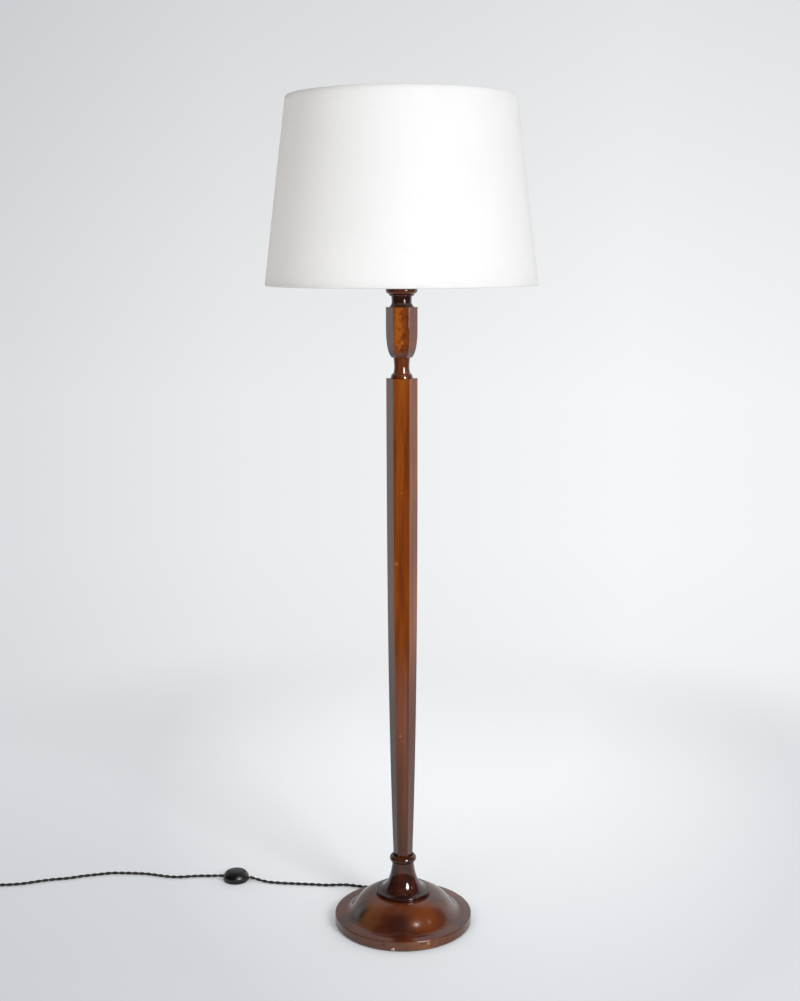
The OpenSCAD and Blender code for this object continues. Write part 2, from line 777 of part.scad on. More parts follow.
module shade_lining() {
    color("whitesmoke") sleeve(linen_t + skin_gap, skin_t);
}

module rim_wire(r, z) {
    color("silver") rotate_extrude($fn = 128) translate([r, z]) circle(d = rim_wire_d, $fn = 24);
}

module shade_bottom_wire() {
    rim_wire(bottom_wire_r, shade_z + hem_r);
}

module shade_top_wire() {
    rim_wire(top_wire_r, shade_z + shade_h - hem_r);
}

// Linen rolled round a wire, open towards the lining.
module hem(r, z) {
    mouth = hem_r * sin(hem_mouth / 2);
    color("white") rotate_extrude($fn = 128) translate([r, z]) difference() {
        circle(hem_r, $fn = 32);
        circle(rim_wire_d / 2 + skin_gap, $fn = 32);
        translate([0, -mouth]) square([hem_r + 1, 2 * mouth]);
    }
}

module shade_bottom_hem() {
    hem(bottom_wire_r, shade_z + hem_r);
}

module shade_top_hem() {
    hem(top_wire_r, shade_z + shade_h - hem_r);
}

// Washer that drops over the barrel and rests on its shoulder.
module fitter_ring() {
    color("silver") translate([0, 0, fitter_z])
        ring(fitter_d, holder_barrel_d + 2 * run_gap, fitter_t);
}

// Three wires from the washer, bent down at the rim.
module shade_spokes() {
    color("silver") around(spoke_angles, 0) {
        translate([spoke_start_r, 0, spoke_z]) rotate([0, 90, 0])
            cylinder(d = spoke_d, h = spoke_end_r - spoke_start_r, $fn = 24);
        translate([spoke_end_r, 0, spoke_z]) sphere(d = spoke_d, $fn = 24);
        translate([spoke_end_r, 0, shade_z + 1])
            cylinder(d = spoke_d, h = spoke_z - shade_z - 1, $fn = 24);
    }
}

// --- Flex --------------------------------------------------------------------------------

// The flex inside the lamp: down the bores, round a bend and out through the rim.
module inner_flex() {
    low = flex_out_z + flex_bend_r;
    high = holder_z + nipple_out + flex_end_out;
    color("black") {
        bore(flex_d, low, high);
        flex_way(flex_d, flex_bend_r, grommet_face_r);
        rotate([0, 0, flex_side]) translate([flex_bend_r, 0, low]) rotate([90, 0, 0])
            rotate_extrude(angle = 90, start = 180) translate([flex_bend_r, 0]) circle(d = flex_d);
    }
}

lamp_side_route = concat(
    [flex_out, flex_out + 0.9 * flex_d * flex_dir], on_floor(lamp_side_floor),
    [switch_flex_right + switch_straight * switch_dir, switch_flex_right]
);
coil_start = coil_at + [2 * flex_d, coil_d / 2, flex_lie_z];
plug_side_route = concat(
    [switch_flex_left, switch_flex_left - switch_straight * switch_dir], on_floor(plug_side_floor),
    [coil_start + [flex_d, 0, 0], coil_start]
);

module flex_lamp_side() {
    color("black") tube(lamp_side_route, flex_r, tube_sides);
}

module flex_plug_side() {
    color("black") tube(plug_side_route, flex_r, tube_sides);
}

// The coil spirals in, climbs a layer in half a turn, and spirals out again on top.
coil_inner_r = coil_d / 2 - coil_step * coil_turns;
coil_out_turns = coil_turns - 0.5;
function coil_radius(turn) =
    turn <= coil_turns ? coil_d / 2 - coil_step * turn
    : turn <= coil_turns + 0.5 ? let (t = turn - coil_turns) coil_inner_r - coil_step * t * (1 - 2 * t)
    : coil_inner_r + coil_step * (turn - coil_turns - 0.5);
function coil_height(turn) = coil_layer * min(1, max(0, 2 * (turn - coil_turns)));
coil_all_turns = coil_turns + 0.5 + coil_out_turns;
coil_loops = [
    for (i = [0:coil_all_turns * coil_rings]) let (turn = i / coil_rings, a = 90 + 360 * turn)
        coil_at + coil_radius(turn) * [cos(a), sin(a), 0] + [0, 0, flex_lie_z + coil_height(turn)]
];
coil_end = coil_loops[len(coil_loops) - 1] - [2 * flex_d, 0, 0];
coil_route = concat([coil_start, coil_start - [flex_d, 0, 0]], coil_loops,
                    [coil_end + [flex_d, 0, 0], coil_end]);

// Least gap of the coil to itself: points that lie more than half a turn apart.
coil_count = len(coil_route);
coil_self_gap = min([
    for (i = [0:coil_count - 1], j = [i + coil_rings / 2:coil_count - 1])
        norm(coil_route[i] - coil_route[j])
]) - flex_d;
function route_length(route, i = 1) =
    i < len(route) ? norm(route[i] - route[i - 1]) + route_length(route, i + 1) : 0;
echo(coil_self_gap = coil_self_gap, coil_length = route_length(coil_route));
echo(lamp_side = route_length(lamp_side_route), plug_side = route_length(plug_side_route));

module flex_coil() {
    color("black") tube(coil_route, flex_r, coil_sides);
}

plug_mouth = plug_at + [-plug_wall, 0, plug_flex_z];
tail_route = [
    coil_end, coil_end - [flex_d, 0, 0], [-958, 112.2, 9.6], [-972, 111, 9.2], [-986, 109.8, 9.6],
    plug_at + [flex_d, 0, plug_flex_z], plug_mouth
];

module flex_tail() {
    color("black") tube(tail_route, flex_r, tube_sides);
}

// Small bright ring round the flex, a little way outside the switch.
ferrule_from = switch_wall + 1 + 4.6;
ferrule_len = 3.2;

module flex_ferrule() {
    color("silver") translate(switch_flex_right) rotate([0, 0, switch_turn])
        translate([ferrule_from, 0, 0]) rotate([0, 90, 0])
            ring(flex_d + 2.6, flex_d + 2 * skin_gap, ferrule_len);
}

// --- Foot switch -------------------------------------------------------------------------

module at_switch() {
    translate(switch_at) rotate([0, 0, switch_turn]) children();
}

switch_inner_r = switch_r - switch_wall;
spindle_top_z = switch_h - button_travel - 4.4;

// Round floor with a spindle for the rotor and four screw posts.
module switch_base() {
    color("black") at_switch() difference() {
        union() {
            cylinder(r = switch_inner_r - glue_gap, h = switch_floor_t);
            cylinder(d = spindle_d, h = spindle_top_z);
            cylinder(d = rotor_d - 6, h = rotor_z - run_gap);
        }
        around(switch_screw_angles, switch_screw_r) {
            translate([0, 0, -1]) cylinder(d = switch_head_d + 2 * glue_gap, h = 1 + switch_head_z);
            cylinder(d = switch_screw_d + 2 * glue_gap, h = switch_floor_t + 1);
        }
    }
}

module switch_screws() {
    color("silver") at_switch() around(switch_screw_angles, switch_screw_r) {
        translate([0, 0, 0.4]) cylinder(d = switch_head_d, h = switch_head_z - 0.4);
        translate([0, 0, 0.4]) cylinder(d = switch_screw_d, h = switch_floor_t + switch_screw_bite);
    }
}

// Two brass blades that the rotor's bridge joins.
module switch_contacts() {
    blade_r = rotor_d / 2 + run_gap;
    color("goldenrod") at_switch() for (a = [0, 180]) rotate([0, 0, a]) {
        translate([blade_r, -3, switch_floor_t]) cube([0.8, 6, rotor_z + rotor_t - switch_floor_t]);
        translate([blade_r, -3, switch_floor_t]) cube([8, 6, 0.8]);
    }
}

// Nylon disc with a brass bridge let into its top.
module switch_rotor() {
    color("ivory") at_switch() translate([0, 0, rotor_z]) difference() {
        cylinder(d = rotor_d, h = rotor_t);
        translate([0, 0, -1]) cylinder(d = spindle_d + 2 * skin_gap, h = rotor_t + 2);
        for (a = [45:90:315]) rotate([0, 0, a]) translate([rotor_d / 2 - 1, 0, -1])
            cylinder(d = 3, h = rotor_t + 2);
    }
}

// Return spring round the spindle, between the rotor's guard and the button.
spring_low_z = rotor_z + rotor_t + run_gap + spring_wire_d / 2;
spring_high_z = switch_h - button_rim_t - run_gap - spring_wire_d / 2;
spring_route = [
    for (i = [0:8 * spring_turns]) let (a = 45 * i, t = i / (8 * spring_turns))
        [(spring_d - spring_wire_d) / 2 * cos(a), (spring_d - spring_wire_d) / 2 * sin(a),
         spring_low_z + (spring_high_z - spring_low_z) * t]
];

module switch_spring() {
    color("silver") at_switch() tube(spring_route, spring_wire_d / 2, 6);
}

// Domed button with a skirt, whose flange stays under the rim of the cover's well.
module switch_button() {
    crown_z = switch_h;
    under_z = crown_z - button_rim_t;
    flange_z = well_foot_z - run_gap;
    outline = concat(
        [[0, under_z], [button_r - 1.6, under_z], [button_r - 1.6, flange_z - 1],
         [button_r + 1.5, flange_z - 1], [button_r + 1.5, flange_z], [button_r, flange_z],
         [button_r, crown_z - 3]],
        curve([button_r - 0.2, crown_z - 2.2], [button_r - 1, crown_z - 1.2],
              [button_r - 8, crown_z], [0, crown_z], 10)
    );
    color("black") at_switch() rotate_extrude($fn = 64) polygon(outline);
}

// Shell: upright skirt, shoulder sloping up to the lip of the button's well, four screw posts.
module switch_cover() {
    well_r = button_r + run_gap;
    post_d = 5.2;
    color("black") at_switch() difference() {
        union() {
            rotate_extrude($fn = 96) polygon(concat(
                [[switch_r - 1.2, 0], [switch_r, 2.5], [switch_r, switch_skirt_h]],
                curve([switch_r - 0.3, switch_skirt_h + 0.8], [switch_r - 2, switch_skirt_h + 4],
                      [well_r + 6, well_lip_z - 0.5], [well_r + 2.4, well_lip_z], 8),
                [[well_r + 0.8, well_lip_z - 0.2], [well_r, well_lip_z - 1.6], [well_r, well_foot_z],
                 [well_r + switch_wall, well_foot_z]],
                [[switch_inner_r - 2.6, switch_skirt_h - 0.6], [switch_inner_r, switch_skirt_h - 3],
                 [switch_inner_r, 0]]
            ));
            around(switch_screw_angles, switch_screw_r) translate([0, 0, switch_floor_t])
                cylinder(d = post_d, h = switch_skirt_h + 1.6 - switch_floor_t);
        }
        around(switch_screw_angles, switch_screw_r)
            cylinder(d = switch_screw_d + 2 * glue_gap, h = switch_floor_t + switch_screw_bite + 1);
        translate([-switch_r - 3, 0, switch_flex_z]) rotate([0, 90, 0])
            cylinder(d = switch_mouth_d, h = 2 * switch_r + 6);
    }
}

// --- Plug --------------------------------------------------------------------------------

// The plug's own frame: the flex comes in at the origin and the plug reaches along +Y.
module at_plug() {
    translate(plug_at) rotate([0, 0, 90]) children();
}

module plug_cover() {
    inner_w = plug_w - 2 * plug_inset - 2 * plug_wall;
    color("black") at_plug() difference() {
        linear_extrude(height = plug_cover_t)
            rounded_rect(plug_w - 2 * plug_inset, plug_len, plug_round);
        difference() {
            translate([0, plug_wall, plug_wall]) linear_extrude(height = plug_cover_t)
                rounded_rect(inner_w, plug_len - 2 * plug_wall, plug_round - plug_wall);
            translate([0, plug_len / 2, 0]) cylinder(d = plug_boss_d, h = plug_cover_t);
        }
        plug_mouth_cut();
        translate([0, plug_len / 2, plug_screw_foot - 1])
            cylinder(d = plug_screw_d + 2 * glue_gap, h = plug_cover_t);
    }
}

module plug_base() {
    inner_w = plug_w - 2 * plug_wall - 2;
    top_z = plug_cover_t + plug_base_t;
    color("black") at_plug() difference() {
        translate([0, 0, plug_cover_t]) linear_extrude(height = plug_base_t)
            rounded_rect(plug_w, plug_len, plug_round);
        difference() {
            translate([0, plug_wall, plug_cover_t - 1])
                linear_extrude(height = plug_base_t - plug_wall + 1)
                    rounded_rect(inner_w, plug_len - 2 * plug_wall, plug_round - plug_wall);
            translate([0, plug_len / 2, 0]) cylinder(d = plug_boss_d, h = top_z);
        }
        plug_mouth_cut();
        translate([0, plug_len / 2, 0]) cylinder(d = plug_screw_d + 2 * glue_gap, h = top_z + 1);
        translate([0, plug_len / 2, top_z - 0.4 - plug_head_t])
            cylinder(d = plug_head_d + 2 * glue_gap, h = plug_base_t);
        at_pins() pin_hole($pin);
    }
}

// The flex's way in, on the line between the plug's halves.
module plug_mouth_cut() {
    translate([0, -1, plug_flex_z]) rotate([-90, 0, 0])
        cylinder(d = flex_d + 2 * skin_gap, h = plug_wall + 4);
}

// Places for the two flat pins and the earth pin, each with its own size.
module at_pins() {
    for (side = [-0.5, 0.5]) translate([side * pin_apart, pin_first, plug_cover_t]) {
        $pin = live_pin;
        children();
    }
    translate([0, pin_first + pin_apart, plug_cover_t]) rotate([0, 0, 90]) {
        $pin = earth_pin;
        children();
    }
}

module pin_hole(size) {
    translate([-size[0] / 2 - glue_gap, -size[1] / 2 - glue_gap, 0])
        cube([size[0] + 2 * glue_gap, size[1] + 2 * glue_gap, plug_base_t + 1]);
}

// A flat pin with a stepped end, its foot inside the plug.
module pin(size) {
    reach = plug_base_t - pin_foot_z + size[2];
    translate([-size[0] / 2, -size[1] / 2, pin_foot_z]) cube([size[0], size[1], reach - 1.5]);
    translate([-size[0] / 2 + 0.6, -size[1] / 2 + 0.6, pin_foot_z])
        cube([size[0] - 1.2, size[1] - 1.2, reach]);
}

module plug_pins() {
    color("goldenrod") at_plug() at_pins() pin($pin);
}

module plug_fuse() {
    color("silver") at_plug()
        translate([pin_apart / 2, pin_first - 5, plug_cover_t + pin_foot_z - fuse_d / 2 - skin_gap])
            rotate([-90, 0, 0]) cylinder(d = fuse_d, h = fuse_len);
}

// Screw that holds the plug's halves together, its head sunk among the pins.
module plug_screw() {
    head_z = plug_cover_t + plug_base_t - 0.4 - plug_head_t;
    color("silver") at_plug() translate([0, plug_len / 2, 0]) {
        translate([0, 0, head_z]) cylinder(d = plug_head_d, h = plug_head_t);
        bore(plug_screw_d, plug_screw_foot, head_z + 1);
    }
}

base_plate();
base_baize();
ballast_weight();
ballast_screws();
pedestal_screws();
flex_grommet();
pedestal();
column();
neck();
urn();
capital();
inner_flex();
holder_nipple();
holder_cap();
holder_body();
holder_core();
holder_plungers();
clamp_ring();
bulb_cap();
bulb_glass();
fitter_ring();
shade_spokes();
shade_bottom_wire();
shade_top_wire();
shade_bottom_hem();
shade_top_hem();
shade_lining();
shade_cover();
flex_lamp_side();
flex_ferrule();
switch_base();
switch_screws();
switch_contacts();
switch_rotor();
switch_spring();
switch_button();
switch_cover();
flex_plug_side();
flex_coil();
flex_tail();
plug_base();
plug_cover();
plug_pins();
plug_fuse();
plug_screw();
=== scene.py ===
# %% [markdown]
# # A candlestick floor lamp
# A turned mahogany foot, a tapered hexagonal column, an urn between two turned members, a white
# linen drum shade, and black twisted flex with a foot switch. The CAD model comes in as a fixed
# frame, and each step below makes one piece or one finish on it.
# Everything is in metres, with the origin on the floor on the column's axis and +Z up.

# %% Load the frame
import math

import bmesh
import bpy
from mathutils import Matrix, Vector


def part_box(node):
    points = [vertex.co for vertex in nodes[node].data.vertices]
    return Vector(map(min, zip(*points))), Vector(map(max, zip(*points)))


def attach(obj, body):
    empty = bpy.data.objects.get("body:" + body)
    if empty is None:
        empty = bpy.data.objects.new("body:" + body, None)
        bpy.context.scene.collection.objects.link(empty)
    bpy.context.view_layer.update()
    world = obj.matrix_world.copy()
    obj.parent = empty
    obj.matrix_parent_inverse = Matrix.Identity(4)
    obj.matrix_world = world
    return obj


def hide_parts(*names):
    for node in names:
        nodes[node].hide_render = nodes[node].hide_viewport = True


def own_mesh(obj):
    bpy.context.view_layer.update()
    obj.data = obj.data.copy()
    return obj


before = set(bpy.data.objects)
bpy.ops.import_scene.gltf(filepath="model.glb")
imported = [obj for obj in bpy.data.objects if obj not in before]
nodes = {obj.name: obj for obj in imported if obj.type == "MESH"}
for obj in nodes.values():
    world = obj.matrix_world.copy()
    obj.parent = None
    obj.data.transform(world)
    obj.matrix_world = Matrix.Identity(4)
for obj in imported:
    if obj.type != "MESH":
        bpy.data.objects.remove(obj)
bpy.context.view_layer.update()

mm = 0.001


# %% [markdown]
# ## Colours and nodes
# A colour picked on a screen is sRGB, while a shader works in linear light, so each hex value goes
# through one function. A second small function adds a shader node: its settings come as
# keywords, and its inputs as a dictionary of numbers, colours, other nodes or one output of a node.
# A node given whole stands for its first output that is in use. Every finish below is made with
# these two.

# %% Helpers for colours and nodes
def linear(hex_colour):
    parts = [int(hex_colour[i:i + 2], 16) / 255 for i in (1, 3, 5)]
    return tuple(c / 12.92 if c <= 0.04045 else ((c + 0.055) / 1.055) ** 2.4 for c in parts) + (1.0,)


def add(tree, kind, inputs=None, **settings):
    made = tree.nodes.new("ShaderNode" + kind)
    for key, value in settings.items():
        setattr(made, key, value)
    for key, value in (inputs or {}).items():
        if isinstance(value, bpy.types.Node):
            value = next(output for output in value.outputs if output.enabled)
        if isinstance(value, bpy.types.NodeSocket):
            tree.links.new(value, made.inputs[key])
        else:
            made.inputs[key].default_value = value
    return made


def new_material(name):
    made = bpy.data.materials.new(name)
    made.use_nodes = True
    made.node_tree.nodes.clear()
    return made, made.node_tree


def stops(ramp_node, *pairs):
    """The ramp node with its stops set from (place, hex colour) or (place, grey level) pairs."""
    ramp = ramp_node.color_ramp
    while len(ramp.elements) < len(pairs):
        ramp.elements.new(1.0)
    for element, (place, value) in zip(ramp.elements, sorted(pairs)):
        element.position = place
        element.color = linear(value) if isinstance(value, str) else (value, value, value, 1.0)
    return ramp_node


# %% [markdown]
# ## Measures from the frame
# The pieces are drawn in millimetres, as a maker would. Each of them replaces a CAD piece or stands
# on one, so the heights where they meet, and the widest radii, are read from the frame.

# %% Heights and radii
def measured(node):
    """Widest radius, foot and top of a CAD node on the lamp's axis, in millimetres."""
    low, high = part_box(node)
    return [round(length / mm, 2) for length in (high.x, low.z, high.z)]


base_r, base_z, dome_z = measured("base_plate")
felt_r, _, felt_t = measured("base_baize")
neck_z = measured("column")[2]
_, urn_z, capital_z = measured("urn")
holder_z = measured("capital")[2]
shade_low_r, shade_z, shade_top_z = measured("shade_cover")
print("heights:", dome_z, neck_z, urn_z, capital_z, holder_z, shade_z, shade_top_z, "mm")


# %% [markdown]
# ## Camera
# The photograph was taken a little above the middle of the lamp, looking slightly down, with a
# normal lens. Fitting the ellipses of the base and the shade gives the place, the tilt and the
# focal length. The sensor size counts for the longer side, which here is the height.

# %% Camera
focal_length = 51.44
camera_turn, camera_dip, camera_roll = 2.4, 9.875, -0.15
camera_data = bpy.data.cameras.new("camera")
camera_data.lens = focal_length
camera = bpy.data.objects.new("camera", camera_data)
camera.location = (0.1092, -2.7042, 1.3324)
camera.rotation_euler = (Matrix.Rotation(math.radians(camera_turn), 3, "Z")
                         @ Matrix.Rotation(math.radians(90 - camera_dip), 3, "X")
                         @ Matrix.Rotation(math.radians(camera_roll), 3, "Z")).to_euler()
bpy.context.scene.collection.objects.link(camera)
bpy.context.scene.camera = camera
bpy.context.scene.view_settings.view_transform = "Standard"
print("camera at", tuple(camera.location), "lens", camera_data.lens)


# %% [markdown]
# ## Floor and studio
# The lamp stands in a white photographic studio. The floor is a pale disc that lets the background
# through towards its edge, so it has no visible end from any side. A real studio floor is lit by
# more lamps towards the back, so the paint gets a faint glow there, for the camera and for mirror
# rays only: it lights nothing, and the lamp's shadow stays. What the polish mirrors matters as much
# as the light itself: white walls to the left and the right, a greyer one behind the lamp, a dark
# room behind the camera, and a pale floor that ends about two metres from the lamp. So the world
# shows mirror rays such a room, shows the camera a plain pale background, and gives matt surfaces a
# soft light from all round. It is strongest from the wall behind and the ceiling, and a little
# warmer from the left.

# %% Floor
def rays(tree):
    """Whether a ray comes from the camera, and whether it comes by way of a mirror or of glass."""
    ray = add(tree, "LightPath").outputs
    return ray["Is Camera Ray"], add(tree, "Math", {
        0: ray["Is Glossy Ray"], 1: ray["Is Transmission Ray"]}, operation="MAXIMUM")


floor_r = 2.3
bm = bmesh.new()
bmesh.ops.create_circle(bm, cap_ends=True, segments=96, radius=floor_r)
floor_mesh = bpy.data.meshes.new("floor")
bm.to_mesh(floor_mesh)
bm.free()
floor = bpy.data.objects.new("floor", floor_mesh)
bpy.context.scene.collection.objects.link(floor)

floor_paint, tree = new_material("studio_floor_paint")
place = add(tree, "TexCoord").outputs["Object"]
reach = add(tree, "VectorMath", {0: place}, operation="LENGTH")
fade = add(tree, "MapRange", {"Value": reach, "From Min": 1.2, "From Max": 2.2},
           interpolation_type="SMOOTHSTEP")
# The paint is drawn brightest 1.3 m behind the lamp and darker to the front and the sides: a painted
# pool of light.
oval = add(tree, "Mapping", {"Vector": place, "Location": (-0.15, -0.68, 0),
                             "Scale": (1.1, 0.53, 0)})
fall_off = add(tree, "VectorMath", {0: oval}, operation="LENGTH")
tint = stops(add(tree, "ValToRGB", {"Fac": fall_off}),
             (0.35, "#e9ecf0"), (0.5, "#e3e6ea"), (0.7, "#dadee2"), (0.95, "#cbcfd4"))
# Emulsion on board: matt, with hardly any gloss.
paint = add(tree, "BsdfPrincipled", {"Base Color": tint, "Roughness": 0.85,
                                     "Specular IOR Level": 0.2})
glow = add(tree, "MapRange", {"Value": add(tree, "SeparateXYZ", {0: place}).outputs["Y"],
                              "From Min": -0.7, "From Max": 1.0, "To Max": 0.22},
           interpolation_type="SMOOTHSTEP")
from_camera, mirrored = rays(tree)
seen = add(tree, "Math", {0: from_camera, 1: mirrored}, operation="MAXIMUM")
glow = add(tree, "Math", {0: glow, 1: seen}, operation="MULTIPLY")
lit = add(tree, "Emission", {"Color": linear("#f4f6f8"), "Strength": glow})
lit = add(tree, "AddShader", {0: paint, 1: lit})
clear = add(tree, "BsdfTransparent")
mixed = add(tree, "MixShader", {0: fade, 1: lit, 2: clear})
add(tree, "OutputMaterial", {"Surface": mixed})
floor.data.materials.append(floor_paint)

# %% World
world = bpy.data.worlds.new("studio")
world.use_nodes = True
bpy.context.scene.world = world
tree = world.node_tree
tree.nodes.clear()
axes = add(tree, "SeparateXYZ", {0: add(tree, "TexCoord").outputs["Generated"]}).outputs
# Background for the camera: pale grey on the left, nearly white right of the middle, and darker
# towards the ceiling.
across = add(tree, "MapRange", {"Value": axes["X"], "From Min": -0.3, "From Max": 0.3})
backdrop = stops(add(tree, "ValToRGB", {"Fac": across}),
                 (0.0, "#dcdee2"), (0.25, "#e9ebed"), (0.7, "#f5f7f9"), (1.0, "#f0f2f4"))
upwards = add(tree, "MapRange", {"Value": axes["Z"], "From Min": -0.3, "From Max": 0.2})
shade_off = stops(add(tree, "ValToRGB", {"Fac": upwards}),
                  (0.0, 0.96), (0.2, 1.0), (0.4, 1.0), (0.62, 0.94), (0.92, 0.84))
backdrop_colour = add(tree, "Mix", {"Factor": 1.0, "A": backdrop, "B": shade_off},
                      data_type="RGBA", blend_type="MULTIPLY")
# Room for mirror rays. From left to right: a white wall, the greyer one behind the lamp, and a
# white one again. It is dark towards the camera and dimmer towards the ceiling.
sideways = add(tree, "MapRange", {"Value": axes["X"], "From Min": -1.0})
wall_white = stops(add(tree, "ValToRGB", {"Fac": sideways}),
                   (0.0, 0.85), (0.08, 0.85), (0.14, 0.50), (0.45, 0.45), (0.53, 0.72), (0.7, 0.92),
                   (1.0, 1.0))
walls = add(tree, "MapRange", {"Value": axes["Y"], "From Min": 0.26, "From Max": 0.50,
                               "To Min": 0.02, "To Max": wall_white},
            interpolation_type="SMOOTHSTEP")
ceiling = add(tree, "MapRange", {"Value": axes["Z"], "From Min": 0.55, "From Max": 0.95,
                                 "To Min": 1.25, "To Max": 0.30}, interpolation_type="SMOOTHSTEP")
room = add(tree, "Math", {0: walls, 1: ceiling}, operation="MULTIPLY")
# Soft light for matt surfaces.
back_wall = add(tree, "MapRange", {"Value": axes["Y"], "From Min": -0.4, "From Max": 0.5,
                                   "To Min": 0.43, "To Max": 0.78},
                interpolation_type="SMOOTHSTEP")
overhead = add(tree, "MapRange", {"Value": axes["Z"], "From Min": 0.25, "From Max": 0.75,
                                  "To Min": 0.0, "To Max": 0.15}, interpolation_type="SMOOTHSTEP")
soft = add(tree, "Math", {0: back_wall, 1: overhead}, operation="ADD")
soft_tint = stops(add(tree, "ValToRGB", {"Fac": sideways}),
                  (0.0, "#f0d9c4"), (0.22, "#f6efea"), (0.38, "#f8f9fb"))
even_light = add(tree, "Background", {"Color": soft_tint, "Strength": soft})
room_light = add(tree, "Background", {"Color": linear("#f6f5f4"), "Strength": room})
seen_light = add(tree, "Background", {"Color": backdrop_colour, "Strength": 1.0})
from_camera, mirrored = rays(tree)
not_seen = add(tree, "MixShader", {0: mirrored, 1: even_light, 2: room_light})
all_light = add(tree, "MixShader", {0: from_camera, 1: not_seen, 2: seen_light})
add(tree, "OutputWorld", {"Surface": all_light})


# %% [markdown]
# ## Lights
# The small bright marks on the turned wood show one large softbox to the right of the camera and a
# weaker, warmer light further round to the right. The marks are much brighter than paper white, so
# a second lamp of the softbox's size adds to its mirror image only. A white card close to the
# shade, a little to the left of the camera, keeps its dark side from going grey. An area lamp stands
# for each: its size sets how soft the shadows are and how large its mirror image in the polish is.

# %% Lights
def softbox(name, bearing, distance, height, size, watts, colour="#ffffff", aim=0.9):
    """Area lamp at a bearing, in degrees to the right of the lamp's front, that looks at its axis."""
    lamp = bpy.data.lights.new(name, "AREA")
    lamp.shape = "ELLIPSE"
    lamp.size, lamp.size_y = size  # width and height in metres
    lamp.energy = watts
    lamp.color = linear(colour)[:3]
    made = bpy.data.objects.new(name, lamp)
    angle = math.radians(bearing)
    made.location = (distance * math.sin(angle), -distance * math.cos(angle), height)
    made.rotation_euler = (Vector((0, 0, aim)) - made.location).to_track_quat("-Z", "Y").to_euler()
    made.visible_camera = False
    bpy.context.scene.collection.objects.link(made)
    return made


key_light = {"bearing": 36, "height": 1.65, "size": (0.95, 1.5)}
softbox("key_softbox", distance=2.6, watts=54, **key_light)
glint = softbox("key_glint", distance=2.58, watts=50, **key_light)
glint.visible_diffuse = False
softbox("side_light", bearing=70, distance=2.4, height=1.6, size=(0.30, 0.55), watts=2.0,
        colour="#ffe2c4")
card = softbox("bounce_card", bearing=-28, distance=1.5, height=1.15, size=(0.9, 0.9), watts=7,
               aim=1.45)
card.visible_glossy = False


# %% [markdown]
# ## Twisted flex: its route
# The flex is two fabric-covered cores twisted together, 6.4 mm over both. It leaves the back of the
# base, lies along the floor in shallow bends, passes the foot switch, and the length that nobody
# needs is wound into a coil beside the plug. The route repeats the points of the CAD model. A
# Catmull-Rom curve through them is smooth and stays close to every point, so no bend is added.

# %% Route of the flex
def heading(angle):
    return Vector((math.cos(angle), math.sin(angle), 0))


flex_d = 6.4 * mm
floor_height = 3.3 * mm  # of the flex's middle where it lies on the floor
exit_height = Vector((0, 0, 9 * mm))
flex_heading = heading(math.radians(120))
flex_out = (base_r + 1.5) * mm * flex_heading + exit_height
switch_r, switch_flex_z = 27, 6.5
switch_at = Vector((-367, 175, 0)) * mm
switch_turn = math.radians(-7)
switch_heading = heading(switch_turn)
into_switch = (switch_r - 3) * mm * switch_heading
switch_right, switch_left = [switch_at + way * into_switch + Vector((0, 0, switch_flex_z * mm))
                             for way in (1, -1)]

lamp_side = [
    (-80, 134, 6.6), (-90, 140.5, 4.6), (-106, 146.5), (-126, 151), (-146, 150), (-168, 148),
    (-194, 150), (-210, 151), (-227, 152), (-243, 153), (-260, 154), (-276, 156),
    (-291, 158), (-304, 161.5, 3.8), (-316, 166, 4.8), (-325, 168.9, 5.9),
]
plug_side = [
    (-409, 180.9, 5.6), (-421, 183, 4.3), (-433, 184.4), (-450, 183.5), (-466, 181), (-480, 178),
    (-493, 176.5), (-508, 177), (-524, 180), (-541, 184.5), (-559, 189), (-577, 191), (-598, 192),
    (-620, 192), (-636, 191.5), (-652, 188.5), (-668, 183.5), (-685, 178.5), (-701, 173.5),
    (-716, 167), (-731, 161.5), (-745, 158), (-760, 154.5), (-775, 149.5), (-789, 144),
    (-803, 138), (-817, 132.5), (-831, 128.8), (-846, 126), (-862, 124), (-878, 121.5), (-894, 119),
]


def on_floor(points):
    return [Vector((p[0] * mm, p[1] * mm, p[2] * mm if len(p) == 3 else floor_height))
            for p in points]


# The coil spirals in over three turns, climbs a layer in half a turn, and spirals out on top. It
# starts and ends with two straight steps along X.
coil_at = Vector((-925, 68, 0)) * mm
coil_r, coil_step, coil_turns, coil_layer = 48.5 * mm, 7 * mm, 3, 6.9 * mm


def coil_point(turn):
    inner = coil_r - coil_step * coil_turns
    if turn <= coil_turns:
        r = coil_r - coil_step * turn
    elif turn <= coil_turns + 0.5:
        part = turn - coil_turns
        r = inner - coil_step * part * (1 - 2 * part)
    else:
        r = inner + coil_step * (turn - coil_turns - 0.5)
    z = floor_height + coil_layer * min(1, max(0, 2 * (turn - coil_turns)))
    a = math.radians(90 + 360 * turn)
    return coil_at + Vector((r * math.cos(a), r * math.sin(a), z))


coil_route = [coil_point(i / 24) for i in range(24 * 2 * coil_turns + 1)]
along_x = Vector((flex_d, 0, 0))
coil_route = ([coil_route[0] + 2 * along_x, coil_route[0] + along_x] + coil_route
              + [coil_route[-1] - along_x, coil_route[-1] - 2 * along_x])
plug_at = Vector((-1006, 109, 0)) * mm
tail = on_floor([(-958, 112.2, 9.6), (-972, 111, 9.2), (-986, 109.8, 9.6)])

lamp_side_route = ([flex_out, flex_out + 0.9 * flex_d * flex_heading] + on_floor(lamp_side)
                   + [switch_right + 12 * mm * switch_heading, switch_right])
plug_side_route = ([switch_left, switch_left - 12 * mm * switch_heading] + on_floor(plug_side)
                   + coil_route + tail
                   + [plug_at + Vector((6.4, 0, 10)) * mm, plug_at + Vector((-3, 0, 10)) * mm])


